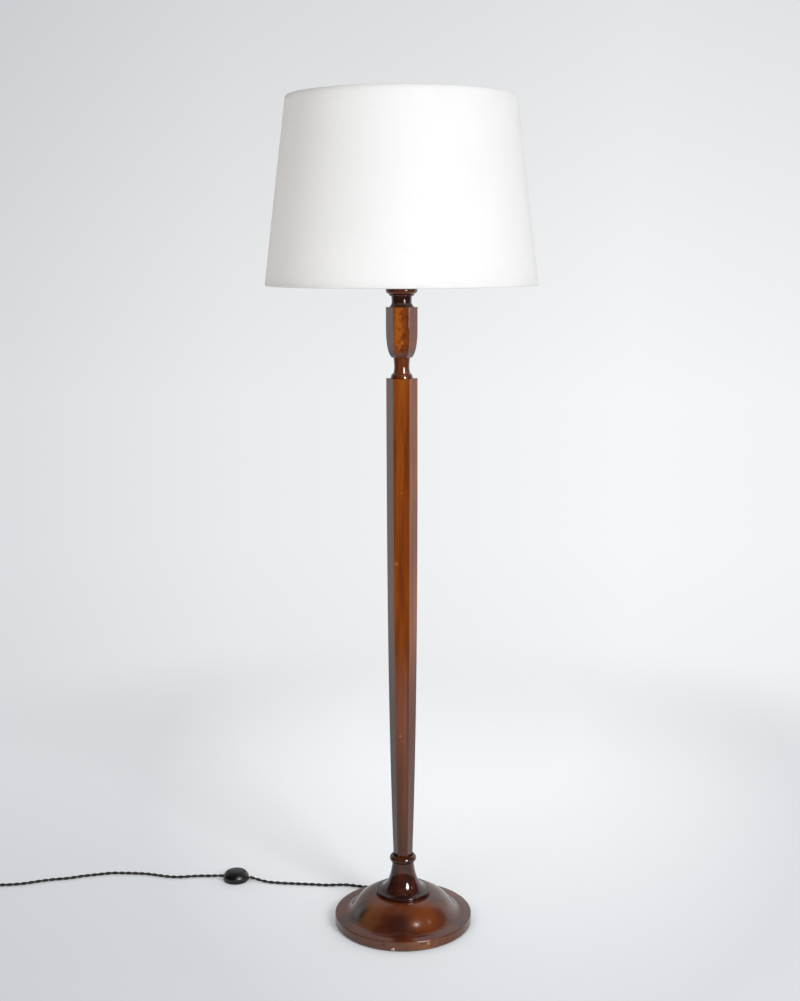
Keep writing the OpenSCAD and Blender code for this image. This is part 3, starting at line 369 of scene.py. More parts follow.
def smooth_route(points, step):
    """Points every step along a Catmull-Rom curve through the given ones."""
    ends = [2 * points[0] - points[1]] + points + [2 * points[-1] - points[-2]]
    fine, pieces = [points[0]], 12
    for a, b, c, d in zip(ends, ends[1:], ends[2:], ends[3:]):
        for k in range(1, pieces + 1):
            t = k / pieces
            fine.append(0.5 * (2 * b + (c - a) * t + (2 * a - 5 * b + 4 * c - d) * t * t
                               + (3 * b - a - 3 * c + d) * t ** 3))
    spaced, left = [fine[0]], step
    for p, q in zip(fine, fine[1:]):
        span, gone = (q - p).length, 0.0
        while span - gone >= left:
            gone += left
            spaced.append(p.lerp(q, gone / span))
            left = step
        left -= span - gone
    return spaced + ([fine[-1]] if (spaced[-1] - fine[-1]).length > 0.3 * step else [])


def route_length(points):
    return sum((q - p).length for p, q in zip(points, points[1:]))


lamp_side_line = smooth_route(lamp_side_route, 2.0 * mm)
plug_side_line = smooth_route(plug_side_route, 2.0 * mm)
print("flex: lamp side", round(route_length(lamp_side_line), 3), "m, plug side",
      round(route_length(plug_side_line), 3), "m")


# %% [markdown]
# ## Twisted flex: its two cores
# Each core is a round braided tube of 3.2 mm. Two such tubes, half a turn apart on a helix about
# the route, are exactly what the flex is, so its scalloped outline and its twist come by
# themselves. Blender's curve object makes the tubes: two splines with a bevel, turned into one
# mesh. At each point the helix needs two directions square to the route. The first starts level
# with the floor and is carried along the route from point to point, so it adds no twist of its own.

# %% Cores of the flex
twist_pitch = 29.6 * mm
core_d = 3.2 * mm


def placed(name, mesh, body, replaced=()):
    """Turns a mesh into a smooth piece that rides on a body, and prints its size."""
    mesh.name = name
    for face in mesh.polygons:
        face.use_smooth = True
    piece = bpy.data.objects.new(name, mesh)
    bpy.context.scene.collection.objects.link(piece)
    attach(piece, body)
    if replaced:
        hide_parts(*replaced)
    print(name, len(mesh.polygons), "faces,", [round(x, 4) for x in piece.dimensions], "m")
    return piece


def tubes(name, lines, r, replaced):
    """A piece of round tubes, of radius r, along these lines of points in metres."""
    curve_data = bpy.data.curves.new(name, "CURVE")
    curve_data.dimensions = "3D"
    curve_data.bevel_depth = r
    curve_data.bevel_resolution = 2
    curve_data.use_fill_caps = True
    for line in lines:
        spline = curve_data.splines.new("POLY")
        spline.points.add(len(line) - 1)
        for point, at in zip(spline.points, line):
            point.co = (*at, 1.0)
    drawn = bpy.data.objects.new(name, curve_data)
    bpy.context.scene.collection.objects.link(drawn)
    bpy.context.view_layer.update()
    mesh = bpy.data.meshes.new_from_object(drawn)
    bpy.data.objects.remove(drawn)
    return placed(name, mesh, "lamp", replaced)


def twisted_pair(name, line, replaced):
    cores = []
    for half_turn in (0, math.pi):
        core, travelled = [], 0.0
        side = Vector((0, 0, 1)).cross(line[1] - line[0]).normalized()
        for i, p in enumerate(line):
            forward = (line[min(i + 1, len(line) - 1)] - line[max(i - 1, 0)]).normalized()
            side = (side - side.dot(forward) * forward).normalized()
            up = forward.cross(side)
            travelled += (p - line[i - 1]).length if i else 0.0
            a = half_turn + 2 * math.pi * travelled / twist_pitch
            core.append(p + core_d / 2 * (math.cos(a) * side + math.sin(a) * up))
        cores.append(core)
    return tubes(name, cores, core_d / 2, replaced)


flex_to_switch = twisted_pair("flex_to_switch", lamp_side_line, ["flex_lamp_side"])
flex_to_plug = twisted_pair("flex_to_plug", plug_side_line,
                            ["flex_plug_side", "flex_coil", "flex_tail"])


# %% [markdown]
# ## Turned wood
# A turner cuts a profile along a spinning blank, and bmesh's spin does the same with a chain of
# edges. The hollows are cubic curves and the rounded edges are arcs, with the CAD model's sizes, but
# with more steps, because polished wood shows every flat in its reflections. Faces are smooth
# shaded, and edges sharper than 30 degrees stay crisp.

# %% Helpers for profiles
def curve(a, b, c, d, steps):
    """Cubic curve from a to d, pulled towards b and c, as (radius, height) pairs in millimetres."""
    points = []
    for i in range(steps + 1):
        t = i / steps
        s = 1 - t
        points.append(tuple(s ** 3 * p + 3 * s * s * t * q + 3 * s * t * t * u + t ** 3 * v
                            for p, q, u, v in zip(a, b, c, d)))
    return points


def arc(centre, r, start, end, steps):
    """Round stretch of a profile, from one angle to another in degrees."""
    return [(centre[0] + r * math.cos(math.radians(start + (end - start) * i / steps)),
             centre[1] + r * math.sin(math.radians(start + (end - start) * i / steps)))
            for i in range(steps + 1)]


def finished(name, bm, body, replaced=(), smooth_below=30):
    """Turns a bmesh into a piece whose edges stay sharp above an angle in degrees."""
    mesh = bpy.data.meshes.new(name)
    bm.to_mesh(mesh)
    bm.free()
    piece = placed(name, mesh, body, replaced)
    mesh.set_sharp_from_angle(angle=math.radians(smooth_below))
    return piece


def spun(outline, sides=144, start=0, sweep=360, place=Matrix()):
    """Spins a profile of (radius, height) pairs in millimetres about an upright axis."""
    bm = bmesh.new()
    verts = [bm.verts.new((r * mm, 0, z * mm)) for r, z in outline]
    edges = [bm.edges.new(pair) for pair in zip(verts, verts[1:])]
    bmesh.ops.rotate(bm, verts=verts, matrix=Matrix.Rotation(math.radians(start), 3, "Z"))
    bmesh.ops.spin(bm, geom=verts + edges, cent=(0, 0, 0), axis=(0, 0, 1), dvec=(0, 0, 0),
                   angle=math.radians(sweep), steps=sides, use_merge=sweep == 360,
                   use_duplicate=False)
    bmesh.ops.remove_doubles(bm, verts=bm.verts, dist=1e-6)
    bmesh.ops.recalc_face_normals(bm, faces=bm.faces)
    bmesh.ops.transform(bm, matrix=place, verts=bm.verts)
    return bm


# %% Base and pedestal
rim_z, rim_round = 20.2, 1.8
ring_r, dome_top_r, dome_pull = 118.5, 52, 45
base_outline = ([(0, base_z), (base_r - 1, base_z), (base_r, base_z + 1)]
                + arc((base_r - rim_round, rim_z - rim_round), rim_round, 0, 84, 8)
                + curve((ring_r + 17, rim_z + 0.15), (ring_r + 10, rim_z + 0.9),
                        (ring_r + 5, rim_z + 1.5), (ring_r + 1, rim_z + 1.65), 8)
                + curve((ring_r, rim_z + 1.7), (ring_r - 22, rim_z + 1.7),
                        (dome_top_r + dome_pull, dome_z), (dome_top_r, dome_z), 90)
                + [(0, dome_z)])
turned_base = finished("turned_base", spun(base_outline, 216), "lamp", ["base_plate"])

flange_z, waist_r, waist_z = dome_z + 8, 21.4, 128.2
bead_r, bead_z = 7.25, 134.45
seat_r, seat_z, seat_lip_z = 20.64, 138.8, 141.4
pedestal_outline = ([(0, dome_z), (52, dome_z), (53.7, dome_z + 1.6)]
                    + arc((52.7, flange_z - 1.6), 1.6, 0, 90, 8)
                    + curve((51.6, flange_z), (29.9, flange_z + 2), (waist_r + 1.2, waist_z - 24),
                            (waist_r, waist_z), 80)
                    + arc((19.35, bead_z), bead_r, -72, 76, 30)
                    + [(seat_r, seat_lip_z), (seat_r, seat_z), (0, seat_z)])
turned_pedestal = finished("turned_pedestal", spun(pedestal_outline, 160), "lamp",
                           ["pedestal"])

# %% Neck and capital
neck_outline = ([(0, neck_z), (20.6, neck_z), (21, neck_z + 0.6)]
                + curve((21, neck_z + 1.4), (20.2, neck_z + 5.6), (19, neck_z + 8.4),
                        (16.8, neck_z + 9.2), 20)
                + curve((16, neck_z + 9.8), (14.1, neck_z + 18.2), (13.9, urn_z - 16),
                        (15.7, urn_z - 0.8), 40)
                + [(15.7, urn_z), (0, urn_z)])
turned_neck = finished("turned_neck", spun(neck_outline, 128), "lamp", ["neck"])

disc_z = holder_z - 5
hollow_z = disc_z - 5.4
step_z = hollow_z - 3.2
capital_outline = ([(0, capital_z), (23.5, capital_z)]
                   + curve((23.2, capital_z + 0.8), (20.1, capital_z + 3.4), (18.4, capital_z + 7),
                           (18.9, capital_z + 10), 20)
                   + curve((18.9, capital_z + 12), (18.9, capital_z + 15), (19.1, step_z - 2.4),
                           (20.1, step_z), 12)
                   + arc((22.2, step_z + 1.6), 1.6, -90, 60, 10)
                   + curve((24.4, hollow_z), (27.2, hollow_z + 1.0), (29.3, disc_z - 2.4),
                           (29.8, disc_z - 0.2), 16)
                   + arc((27.6, holder_z - 2.2), 2.2, 0, 90, 10)
                   + [(0, holder_z)])
turned_capital = finished("turned_capital", spun(capital_outline, 128), "lamp",
                          ["capital"])


# %% [markdown]
# ## Hexagonal wood
# The column and the urn are planed, not turned: six faces meet in crisp arrises. A six-sided ring of
# edges is extruded from one height to the next and scaled to the side's profile, and the ends are
# filled. Real arrises are never knife sharp, so every edge that folds by more than 25 degrees gets a
# bevel of 0.4 mm, which also gives the thin bright line that the photograph shows.

# %% Column and urn
def hexagonal(profile):
    """Loft of a hexagon with its flats to the front and back, from (half width, height) pairs."""
    bm = bmesh.new()
    start = profile[0]
    corner = 2 / math.sqrt(3)
    made = bmesh.ops.create_circle(bm, segments=6, radius=start[0] * corner * mm,
                                   matrix=Matrix.Translation((0, 0, start[1] * mm))
                                   @ Matrix.Rotation(math.radians(30), 4, "Z"))
    loop = list({e for v in made["verts"] for e in v.link_edges})
    for (half, z), (next_half, next_z) in zip(profile, profile[1:]):
        new = bmesh.ops.extrude_edge_only(bm, edges=loop)["geom"]
        verts = [g for g in new if isinstance(g, bmesh.types.BMVert)]
        loop = [g for g in new if isinstance(g, bmesh.types.BMEdge)]
        bmesh.ops.scale(bm, verts=verts, vec=(next_half / half, next_half / half, 1))
        bmesh.ops.translate(bm, verts=verts, vec=(0, 0, (next_z - z) * mm))
    bmesh.ops.holes_fill(bm, edges=[e for e in bm.edges if e.is_boundary], sides=6)
    bmesh.ops.recalc_face_normals(bm, faces=bm.faces)
    arrises = [e for e in bm.edges if e.calc_face_angle(0) > math.radians(25)]
    bmesh.ops.bevel(bm, geom=arrises, offset=0.4 * mm, offset_type="OFFSET", segments=2,
                    profile=0.5, affect="EDGES", clamp_overlap=True, material=-1)
    return bm


# The column stays nearly straight for its upper half and then thins faster and faster.
column_half, foot_half, steps = 25.8, 16.4, 72
column_profile = [(column_half - (column_half - foot_half) * (1 - i / steps) ** 3,
                   seat_z + (neck_z - seat_z) * i / steps) for i in range(steps + 1)]
planed_column = finished("planed_column", hexagonal(column_profile), "lamp",
                         ["column"], smooth_below=12)
urn_half, urn_foot_half = 25.9, 16.25
urn_profile = (curve((urn_foot_half, urn_z), (urn_foot_half + 7.6, urn_z + 7.6),
                     (urn_half, urn_z + 31), (urn_half, urn_z + 56), 40)
               + [(urn_half, urn_z + 76), (urn_half, capital_z)])
planed_urn = finished("planed_urn", hexagonal(urn_profile), "lamp", ["urn"],
                      smooth_below=12)


# %% [markdown]
# ## French-polished mahogany
# Mahogany is a red-brown wood with long, slightly wavy streaks, fine dark pores drawn out along the
# grain, and a paler figure where the fibres turn. French polish is shellac rubbed on in many thin
# coats: it fills the pores and lies over the wood as a clear gloss skin with its own reflections.
# So the wood itself is matt, and the skin is the shader's coat. The streaks are noise squeezed
# across the grain: a few millimetres wide and some hundred millimetres long. The pores are 0.2 mm
# wide on the real wood and would vanish here, so they are drawn 0.5 mm wide.

# %% Mahogany
def stain_and_shade(tree, colour, amount, stain="#1a0a06"):
    """The colour mixed by a varying amount towards a second one: a stain, and in places painted
    shade.
    """
    return add(tree, "Mix", {"Factor": amount, "A": colour,
                             "B": linear(stain) if isinstance(stain, str) else stain},
               data_type="RGBA")


def polished_mahogany(name, dark, middle, light, lengthwise=(0, 0, 0), figure=0.0, gloss=0.07,
                      seed=0.0, streak=(16, 260), banding=0.55, toning=None):
    """Wood whose grain runs along Z after the turn lengthwise, in degrees; streak is the width and
    length of its broad streaks in millimetres. The function toning takes the tree, the place and
    the colour, and returns the colour with the stains and the painted shade laid over the wood."""
    made, tree = new_material(name)
    place = add(tree, "TexCoord").outputs["Object"]
    turned = add(tree, "Mapping", {"Vector": place, "Location": (seed, seed * 0.7, seed * 1.3),
                                   "Rotation": [math.radians(a) for a in lengthwise]})

    def streaks(width, length, **settings):
        squeezed = add(tree, "Mapping", {"Vector": turned, "Scale": (1 / (width * mm),
                                         1 / (width * mm), 1 / (length * mm))})
        return add(tree, "TexNoise", {"Vector": squeezed, "Scale": 1.0, **settings})

    # Broad streaks, then dark bands 5.5 mm wide, then the pale curl of figured wood, then pores.
    broad = add(tree, "ValToRGB", {"Fac": streaks(*streak, Detail=3.0, Distortion=0.4)})
    colour = stops(broad, (0.30, dark), (0.50, middle), (0.70, light))
    band = add(tree, "MapRange", {"Value": streaks(5.5, 140, Detail=4.0, Distortion=0.6),
                                  "From Min": 0.48, "From Max": 0.72, "To Max": banding})
    colour = stain_and_shade(tree, colour, band, dark)
    if figure:
        curl = add(tree, "Mapping", {"Vector": turned, "Scale": (110, 110, 60)})
        curl = add(tree, "TexNoise", {"Vector": curl, "Scale": 1.0, "Detail": 5.0,
                                      "Roughness": 0.62, "Distortion": 1.6})
        curl = add(tree, "MapRange", {"Value": curl, "From Min": 0.40,
                                      "From Max": 0.60, "To Max": figure})
        colour = stain_and_shade(tree, colour, curl, light)
    pores = add(tree, "MapRange", {"Value": streaks(0.5, 7, Detail=2.0), "From Min": 0.60,
                                   "From Max": 0.74, "To Max": 0.5})
    colour = stain_and_shade(tree, colour, pores, "#240b04")
    if toning:
        colour = toning(tree, place, colour)
    # Rubbing leaves the polish very slightly wavy, and the pores sink in it by a hair.
    waves = add(tree, "TexNoise", {"Vector": place, "Scale": 45.0, "Detail": 2.0})
    coat_bump = add(tree, "Bump", {"Height": waves, "Distance": 0.25 * mm, "Strength": 0.35})
    wood_bump = add(tree, "Bump", {"Height": pores, "Distance": 0.08 * mm,
                                   "Strength": 0.4}, invert=True)
    shader = add(tree, "BsdfPrincipled", {
        "Base Color": colour, "Roughness": 0.55, "Specular IOR Level": 0.05, "Coat Weight": 1.0,
        "Coat Roughness": gloss, "Coat IOR": 1.5, "Normal": wood_bump,
        "Coat Normal": coat_bump})
    add(tree, "OutputMaterial", {"Surface": shader})
    return made


def painted_side_shade(tree, left, right):
    """Amounts of painted shade for the faces turned to the left and the right; the front and back
    ones get none.
    """
    facing = add(tree, "SeparateXYZ", {0: add(tree, "TexCoord").outputs["Normal"]}).outputs
    sideways = add(tree, "MapRange", {"Value": facing["X"], "From Min": -1.0})
    return stops(add(tree, "ValToRGB", {"Fac": sideways}),
                 (0.1, left), (0.4, 0.0), (0.6, 0.0), (0.9, right))


def dabbed(tree, place, colour, *dabs):
    """The colour with soft round patches, each given by its centre, the radius where it starts to
    fade and the one where it ends, in millimetres, its strength, and its own colour."""
    for centre, full_r, end_r, strength, hue in dabs:
        away = add(tree, "VectorMath", {0: place, 1: [c * mm for c in centre]}, operation="DISTANCE")
        patch = add(tree, "MapRange", {"Value": away, "From Min": full_r * mm,
                                       "From Max": end_r * mm, "To Min": strength, "To Max": 0.0},
                    interpolation_type="SMOOTHSTEP")
        colour = stain_and_shade(tree, colour, patch, hue)
    return colour


def dress(piece, material):
    """Gives a piece, or a CAD node's own slots, this one material."""
    if not piece.material_slots:
        piece.data.materials.append(material)
    for slot in piece.material_slots:
        slot.material = material


def column_toning(tree, place, colour):
    """Darker towards the foot, partly a deeper stain and partly painted shade, four worn specks, and
    painted shade on the slanting faces.
    """
    height = add(tree, "SeparateXYZ", {0: place}).outputs["Z"]
    # Darker towards the foot: partly a deeper stain, partly painted shade where less light reaches.
    foot = stops(add(tree, "ValToRGB", {"Fac": height}),
                 (0.14, 0.82), (0.30, 0.64), (0.48, 0.34), (0.62, 0.05), (1.0, 0.0))
    colour = stain_and_shade(tree, colour, foot, "#290f08")
    colour = dabbed(tree, place, colour,
                    ((-4, -20, 396), 1, 4, 0.6, "#b98058"), ((12, -20, 582), 1, 4, 0.5, "#b0764a"),
                    ((-10, -24, 742), 1.5, 5, 0.5, "#b06a32"), ((0, -24, 880), 1, 4, 0.4, "#a8622a"))
    # Painted shade on the faces turned to the left, and a little on the right ones.
    return stain_and_shade(tree, colour, painted_side_shade(tree, 0.66, 0.10))


def urn_toning(tree, place, colour):
    """Redder, darker tone towards both corners of the front face and over the side faces, painted
    shade where the foot turns under, and painted shade on the faces to the left.
    """
    axes = add(tree, "SeparateXYZ", {0: place}).outputs
    across = add(tree, "MapRange", {"Value": axes["X"], "From Min": -15 * mm, "From Max": 15 * mm})
    edges = stops(add(tree, "ValToRGB", {"Fac": across}),
                  (0.0, 0.7), (0.12, 0.45), (0.30, 0.0), (0.55, 0.10), (0.80, 0.65), (1.0, 0.85))
    colour = stain_and_shade(tree, colour, edges, "#511a03")
    # Painted shade where the urn's foot turns under, darkest at the bottom.
    lower = add(tree, "MapRange", {"Value": axes["Z"], "From Min": 1.140, "From Max": 1.162,
                                   "To Min": 0.85, "To Max": 0.0})
    colour = stain_and_shade(tree, colour, lower, "#3d150a")
    # Painted shade on the faces turned to the left.
    return stain_and_shade(tree, colour, painted_side_shade(tree, 0.66, 0.0))


def turned_toning(tree, place, colour):
    """Painted shade over the capital's waist and hollow under its disc and the lampshade, and painted
    shade towards the sides.
    """
    height = add(tree, "SeparateXYZ", {0: place}).outputs["Z"]
    # Painted shade from just above the capital's foot up to the hollow under the disc, where the disc
    # and the lampshade keep the light off; lighter on the disc.
    up_capital = add(tree, "MapRange", {"Value": height, "From Min": capital_z * mm,
                                        "From Max": disc_z * mm})
    hollow = stops(add(tree, "ValToRGB", {"Fac": up_capital}),
                   (0.0, 0.1), (0.1, 0.85), (0.66, 0.85), (0.86, 0.35), (1.0, 0.3))
    colour = stain_and_shade(tree, colour, hollow, "#211009")
    # Painted shade towards the left and the right, as seen from the front.
    return stain_and_shade(tree, colour, painted_side_shade(tree, 0.5, 0.2), "#1c110c")


def pedestal_toning(tree, place, colour):
    """Nearly black painted shade on the left side and on the flange and the foot of the trumpet."""
    # Painted shade on the side turned to the left.
    colour = stain_and_shade(tree, colour, painted_side_shade(tree, 0.75, 0.0), "#150a07")
    # Painted shade on the flange, fading out up the foot of the trumpet.
    height = add(tree, "SeparateXYZ", {0: place}).outputs["Z"]
    flange = stops(add(tree, "ValToRGB", {"Fac": height}),
                   (0.0, 0.7), (0.072, 0.7), (0.078, 0.2), (0.12, 0.0))
    return stain_and_shade(tree, colour, flange, "#1c0a06")


# Patches on the dome, each as centre, fade radii, strength and colour. Most are the wood's paler and
# darker figure; the two greyer ones just below the flange are a painted sheen, and the near-black one
# on the left shoulder and the two dark ones on the ring are painted shade.
dome_figure_sheen_and_shade = (
    ((-66, -68, 40), 8, 38, 0.75, "#66401f"), ((46, -80, 44), 14, 44, 0.80, "#6c330e"),
    ((-44, -58, 58), 8, 30, 0.5, "#6e4430"), ((46, -54, 59), 8, 30, 0.5, "#6e3c28"),
    ((-10, -98, 36), 8, 34, 0.8, "#30120a"), ((-1, -118, 22), 8, 26, 0.6, "#3a150b"),
    ((0, -64, 61), 3, 13, 0.7, "#6b3210"), ((-88, -44, 38), 14, 36, 0.95, "#140b09"),
    ((-114, -48, 22), 10, 42, 0.7, "#241915"), ((112, -48, 22), 8, 36, 0.35, "#241915"))
rim_chips = (
    ((-13, -136.4, 6), 0.8, 3.5, 0.9, "#cdb8a4"), ((-16.5, -136, 4.6), 0.5, 3, 0.6, "#cdb8a4"),
    ((-32, -133.2, 13), 1, 6, 0.6, "#2a1a10"), ((54, -126, 14), 1, 5, 0.5, "#b98a60"))


def base_toning(tree, place, colour):
    """Paler and darker figure on the dome, with some painted sheen and shade, and a rim that years of
    feet and mops have worn down to the wood, with painted light across its front.
    """
    # A coarse noise moves each place by up to 15 mm, so that the patches have ragged outlines.
    wander = add(tree, "TexNoise", {"Vector": place, "Scale": 22.0, "Detail": 2.0})
    wander = add(tree, "VectorMath", {0: wander.outputs["Color"], 1: (0.5, 0.5, 0.5)},
                 operation="SUBTRACT")
    wandered = add(tree, "VectorMath", {0: wander, 1: [30 * mm] * 3, 2: place},
                   operation="MULTIPLY_ADD")
    colour = dabbed(tree, wandered, colour, *dome_figure_sheen_and_shade)
    axes = add(tree, "SeparateXYZ", {0: place}).outputs
    across = add(tree, "MapRange", {"Value": axes["X"], "From Min": -base_r * mm,
                                    "From Max": base_r * mm})
    # The worn rim is drawn palest a little right of the front, where the key light falls, and darker
    # towards both sides: painted light over the worn wood.
    bare_rim_with_painted_light = stops(add(tree, "ValToRGB", {"Fac": across}), (0.1, "#4f2c1b"), (0.45, "#613925"),
                 (0.68, "#7c4626"), (0.82, "#5c2c16"), (1.0, "#4a2c1e"))
    scuffs = add(tree, "TexNoise", {"Vector": place, "Scale": 75.0, "Detail": 4.0})
    scuffed = add(tree, "MapRange", {"Value": scuffs, "From Min": 0.45, "From Max": 0.7,
                                     "To Max": 0.6})
    bare_rim_with_painted_light = stain_and_shade(tree, bare_rim_with_painted_light, scuffed, "#3a2418")
    level = add(tree, "CombineXYZ", {"X": axes["X"], "Y": axes["Y"]})
    away = add(tree, "VectorMath", {0: level}, operation="LENGTH")
    worn = add(tree, "MapRange", {"Value": away, "From Min": (base_r - 2.5) * mm,
                                  "From Max": (base_r - 0.8) * mm, "To Max": 0.9})
    return dabbed(tree, place, stain_and_shade(tree, colour, worn, bare_rim_with_painted_light), *rim_chips)


dress(planed_column, polished_mahogany("column_french_polished_mahogany", "#5a2603", "#7c3a06",
                                       "#96500f", banding=0.4, toning=column_toning))
dress(planed_urn, polished_mahogany("urn_figured_mahogany", "#5c2404", "#723007", "#a85c19",
                                    figure=0.85, seed=0.31, toning=urn_toning))
red_mahogany = polished_mahogany("turned_mahogany_stained_red", "#3e1a0a", "#5f2b0f", "#783a18",
                                 gloss=0.05, seed=0.57, toning=turned_toning)
for piece in (turned_neck, turned_capital):
    dress(piece, red_mahogany)
dress(turned_pedestal, polished_mahogany("turned_mahogany_dark_with_painted_shade", "#1f0c06", "#3a170b",
                                         "#552410", gloss=0.05, seed=0.57, toning=pedestal_toning))
dress(turned_base, polished_mahogany("base_french_polished_mahogany", "#37150b", "#4f2311",
                                     "#5e2e17", lengthwise=(0, 90, 0), gloss=0.13, seed=0.83,
                                     streak=(45, 260), banding=0.2, toning=base_toning))


# %% [markdown]
# ## Linen drum shade
# A drum shade of this kind is made by sticking linen to a stiff white lining, rolling it into a
# truncated cone, and turning the linen over a wire ring at each end. The turned edge shows as a
# small bead. Linen and lining are one laminate, so they are one closed skin here: up the outside
# from the bead at the lower ring to the bead at the upper one, and down again inside, where the
# faces take the lining's material. Light then has two faces to pass, as it has in the laminate.
# Where the two ends of the cloth meet there is a narrow lap, which is always turned to the back.

# %% Linen cover
shade_h = round(shade_top_z - shade_z, 2)
shade_top_r, laminate_t = 212.9, 1.3
edge_r, edge_in = 3.3, 2.7
low_wire_r, high_wire_r = 251.16, 209.16


def shade_r(h):
    """Radius of the linen's outer face at a height above the lower edge."""
    return shade_low_r - (shade_low_r - shade_top_r) * h / shade_h


cover_outline = (
    arc((low_wire_r, shade_z + edge_in), edge_r, -306, -90, 20)
    + curve((low_wire_r, shade_z - 0.6), (shade_r(0) - 1.4, shade_z - 0.6),
            (shade_r(0), shade_z + 0.4), (shade_r(3), shade_z + 3), 6)[1:]
    + [(shade_r(h), shade_z + h) for h in (3 + (shade_h - 6) * i / 24 for i in range(1, 25))]
    + curve((shade_r(shade_h - 3), shade_top_z - 3), (shade_top_r, shade_top_z - 0.4),
            (shade_top_r - 1.4, shade_top_z + 0.6), (high_wire_r, shade_top_z + 0.6), 6)[1:]
    + arc((high_wire_r, shade_top_z - edge_in), edge_r, 90, 306, 20)[1:])
lining_outline = [(shade_r(h) - laminate_t, shade_z + h)
                  for h in (shade_h - 6 - (shade_h - 12) * i / 16 for i in range(17))]
bm = spun(cover_outline + lining_outline + cover_outline[:1], 216)
linen_cover = finished("linen_cover", bm, "shade",
                       ["shade_cover", "shade_lining", "shade_bottom_hem", "shade_top_hem"],
                       smooth_below=50)
for face in linen_cover.data.polygons:
    reach = math.hypot(face.center.x, face.center.y)
    height = face.center.z / mm - shade_z
    if 6 < height < shade_h - 6 and reach < (shade_r(height) - 0.5 * laminate_t) * mm:
        face.material_index = 1

# The lap is about 10 mm wide.
bm = spun([(shade_r(h) + 0.3, shade_z + h) for h in (2, 100, 200, shade_h - 2)], 6,
          start=88.8, sweep=2.4)
bmesh.ops.solidify(bm, geom=bm.faces[:], thickness=0.5 * mm)
linen_lap = finished("linen_lap", bm, "shade")


# %% [markdown]
# ## Linen
# Bleached linen in plain weave is matt and nearly white, with a slightly warm cast where the light
# comes through it. Its threads are uneven, and the thick places, called slubs, give the cloth its
# look: thin lines a few centimetres long, most of them round the shade. The threads lie 0.5 mm apart
# on the real cloth, which is too fine for the picture, so they are drawn 1.1 mm apart. To make the
# pattern follow the cloth, one coordinate goes round the shade as an angle times its radius, and the
# other goes up. The angle jumps at the back, under the lap.

# %% Linen and lining
def round_the_axis(tree, radius):
    """Coordinates on a shape turned about Z, in metres: round it, up it and out from it."""
    axes = add(tree, "SeparateXYZ", {0: add(tree, "TexCoord").outputs["Object"]}).outputs
    away = add(tree, "Math", {0: axes["Y"], 1: -1.0}, operation="MULTIPLY")
    angle = add(tree, "Math", {0: axes["X"], 1: away}, operation="ARCTAN2")
    along = add(tree, "Math", {0: angle, 1: radius}, operation="MULTIPLY")
    level = add(tree, "CombineXYZ", {"X": axes["X"], "Y": axes["Y"]})
    out = add(tree, "VectorMath", {0: level}, operation="LENGTH")
    return add(tree, "CombineXYZ", {"X": along, "Y": axes["Z"], "Z": out})


def lit_through(tree, surface, share, colour):
    """Ends a material that lets a share of the light through, as thin cloth and milky glass do."""
    through = add(tree, "BsdfTranslucent", {"Color": linear(colour)})
    both = add(tree, "MixShader", {0: share, 1: surface, 2: through})
    add(tree, "OutputMaterial", {"Surface": both})


def threads(tree, place, spacing):
    """Height of a plain weave, 0 to 1, with its threads this many metres apart."""
    axes = add(tree, "SeparateXYZ", {0: place}).outputs
    phases = [add(tree, "Math", {0: axes[way], 1: math.pi / spacing},
                  operation="MULTIPLY") for way in "XY"]
    waves = [add(tree, "Math", {0: phase}, operation="SINE") for phase in phases]
    crossing = add(tree, "Math", {0: waves[0], 1: waves[1]}, operation="MULTIPLY")
    return add(tree, "MapRange", {"Value": crossing, "From Min": -1.0})


linen, tree = new_material("bleached_linen_plain_weave")
cloth = round_the_axis(tree, 0.235)
weave = threads(tree, cloth, 1.1 * mm)
slubs = []
for scale, low, high in (((18, 900, 1), 0.56, 0.78), ((800, 22, 1), 0.60, 0.80)):
    stretched = add(tree, "Mapping", {"Vector": cloth, "Scale": scale})
    lines = add(tree, "TexNoise", {"Vector": stretched, "Scale": 1.0, "Detail": 2.0})
    slubs.append(add(tree, "MapRange", {"Value": lines, "From Min": low, "From Max": high}))
slub = add(tree, "Math", {0: slubs[0], 1: slubs[1]}, operation="MAXIMUM")
height = add(tree, "Math", {0: weave, 1: slub}, operation="ADD")
cloudy = add(tree, "TexNoise", {"Vector": cloth, "Scale": 9.0, "Detail": 2.0})
base_tone = stops(add(tree, "ValToRGB", {"Fac": cloudy}), (0.35, "#f4f5f5"), (0.65, "#f7f8f8"))
slub_tone = add(tree, "Math", {0: slub, 1: 0.35}, operation="MULTIPLY")
tone = add(tree, "Mix", {"Factor": slub_tone, "A": base_tone, "B": linear("#e3e3e2")},
           data_type="RGBA")
cloth_bump = add(tree, "Bump", {"Height": height, "Distance": 0.2 * mm, "Strength": 0.5})
front = add(tree, "BsdfPrincipled", {"Base Color": tone, "Roughness": 0.9, "Sheen Weight": 0.15,
                                     "Sheen Roughness": 0.5, "Specular IOR Level": 0.15,
                                     "Normal": cloth_bump})
lit_through(tree, front, 0.48, "#fcfcfc")
dress(linen_lap, linen)

# The lining is rigid white styrene film, smooth with the faintest orange peel from the rolls.
lining, tree = new_material("white_styrene_film_lining")
peel = add(tree, "TexNoise", {"Vector": add(tree, "TexCoord").outputs["Object"], "Scale": 400.0})
peel_bump = add(tree, "Bump", {"Height": peel, "Distance": 0.05 * mm, "Strength": 0.3})
front = add(tree, "BsdfPrincipled", {"Base Color": linear("#f7f7f5"), "Roughness": 0.55,
                                     "IOR": 1.55, "Normal": peel_bump})
lit_through(tree, front, 0.6, "#fcfcfc")
for material in (linen, lining):
    linen_cover.data.materials.append(material)


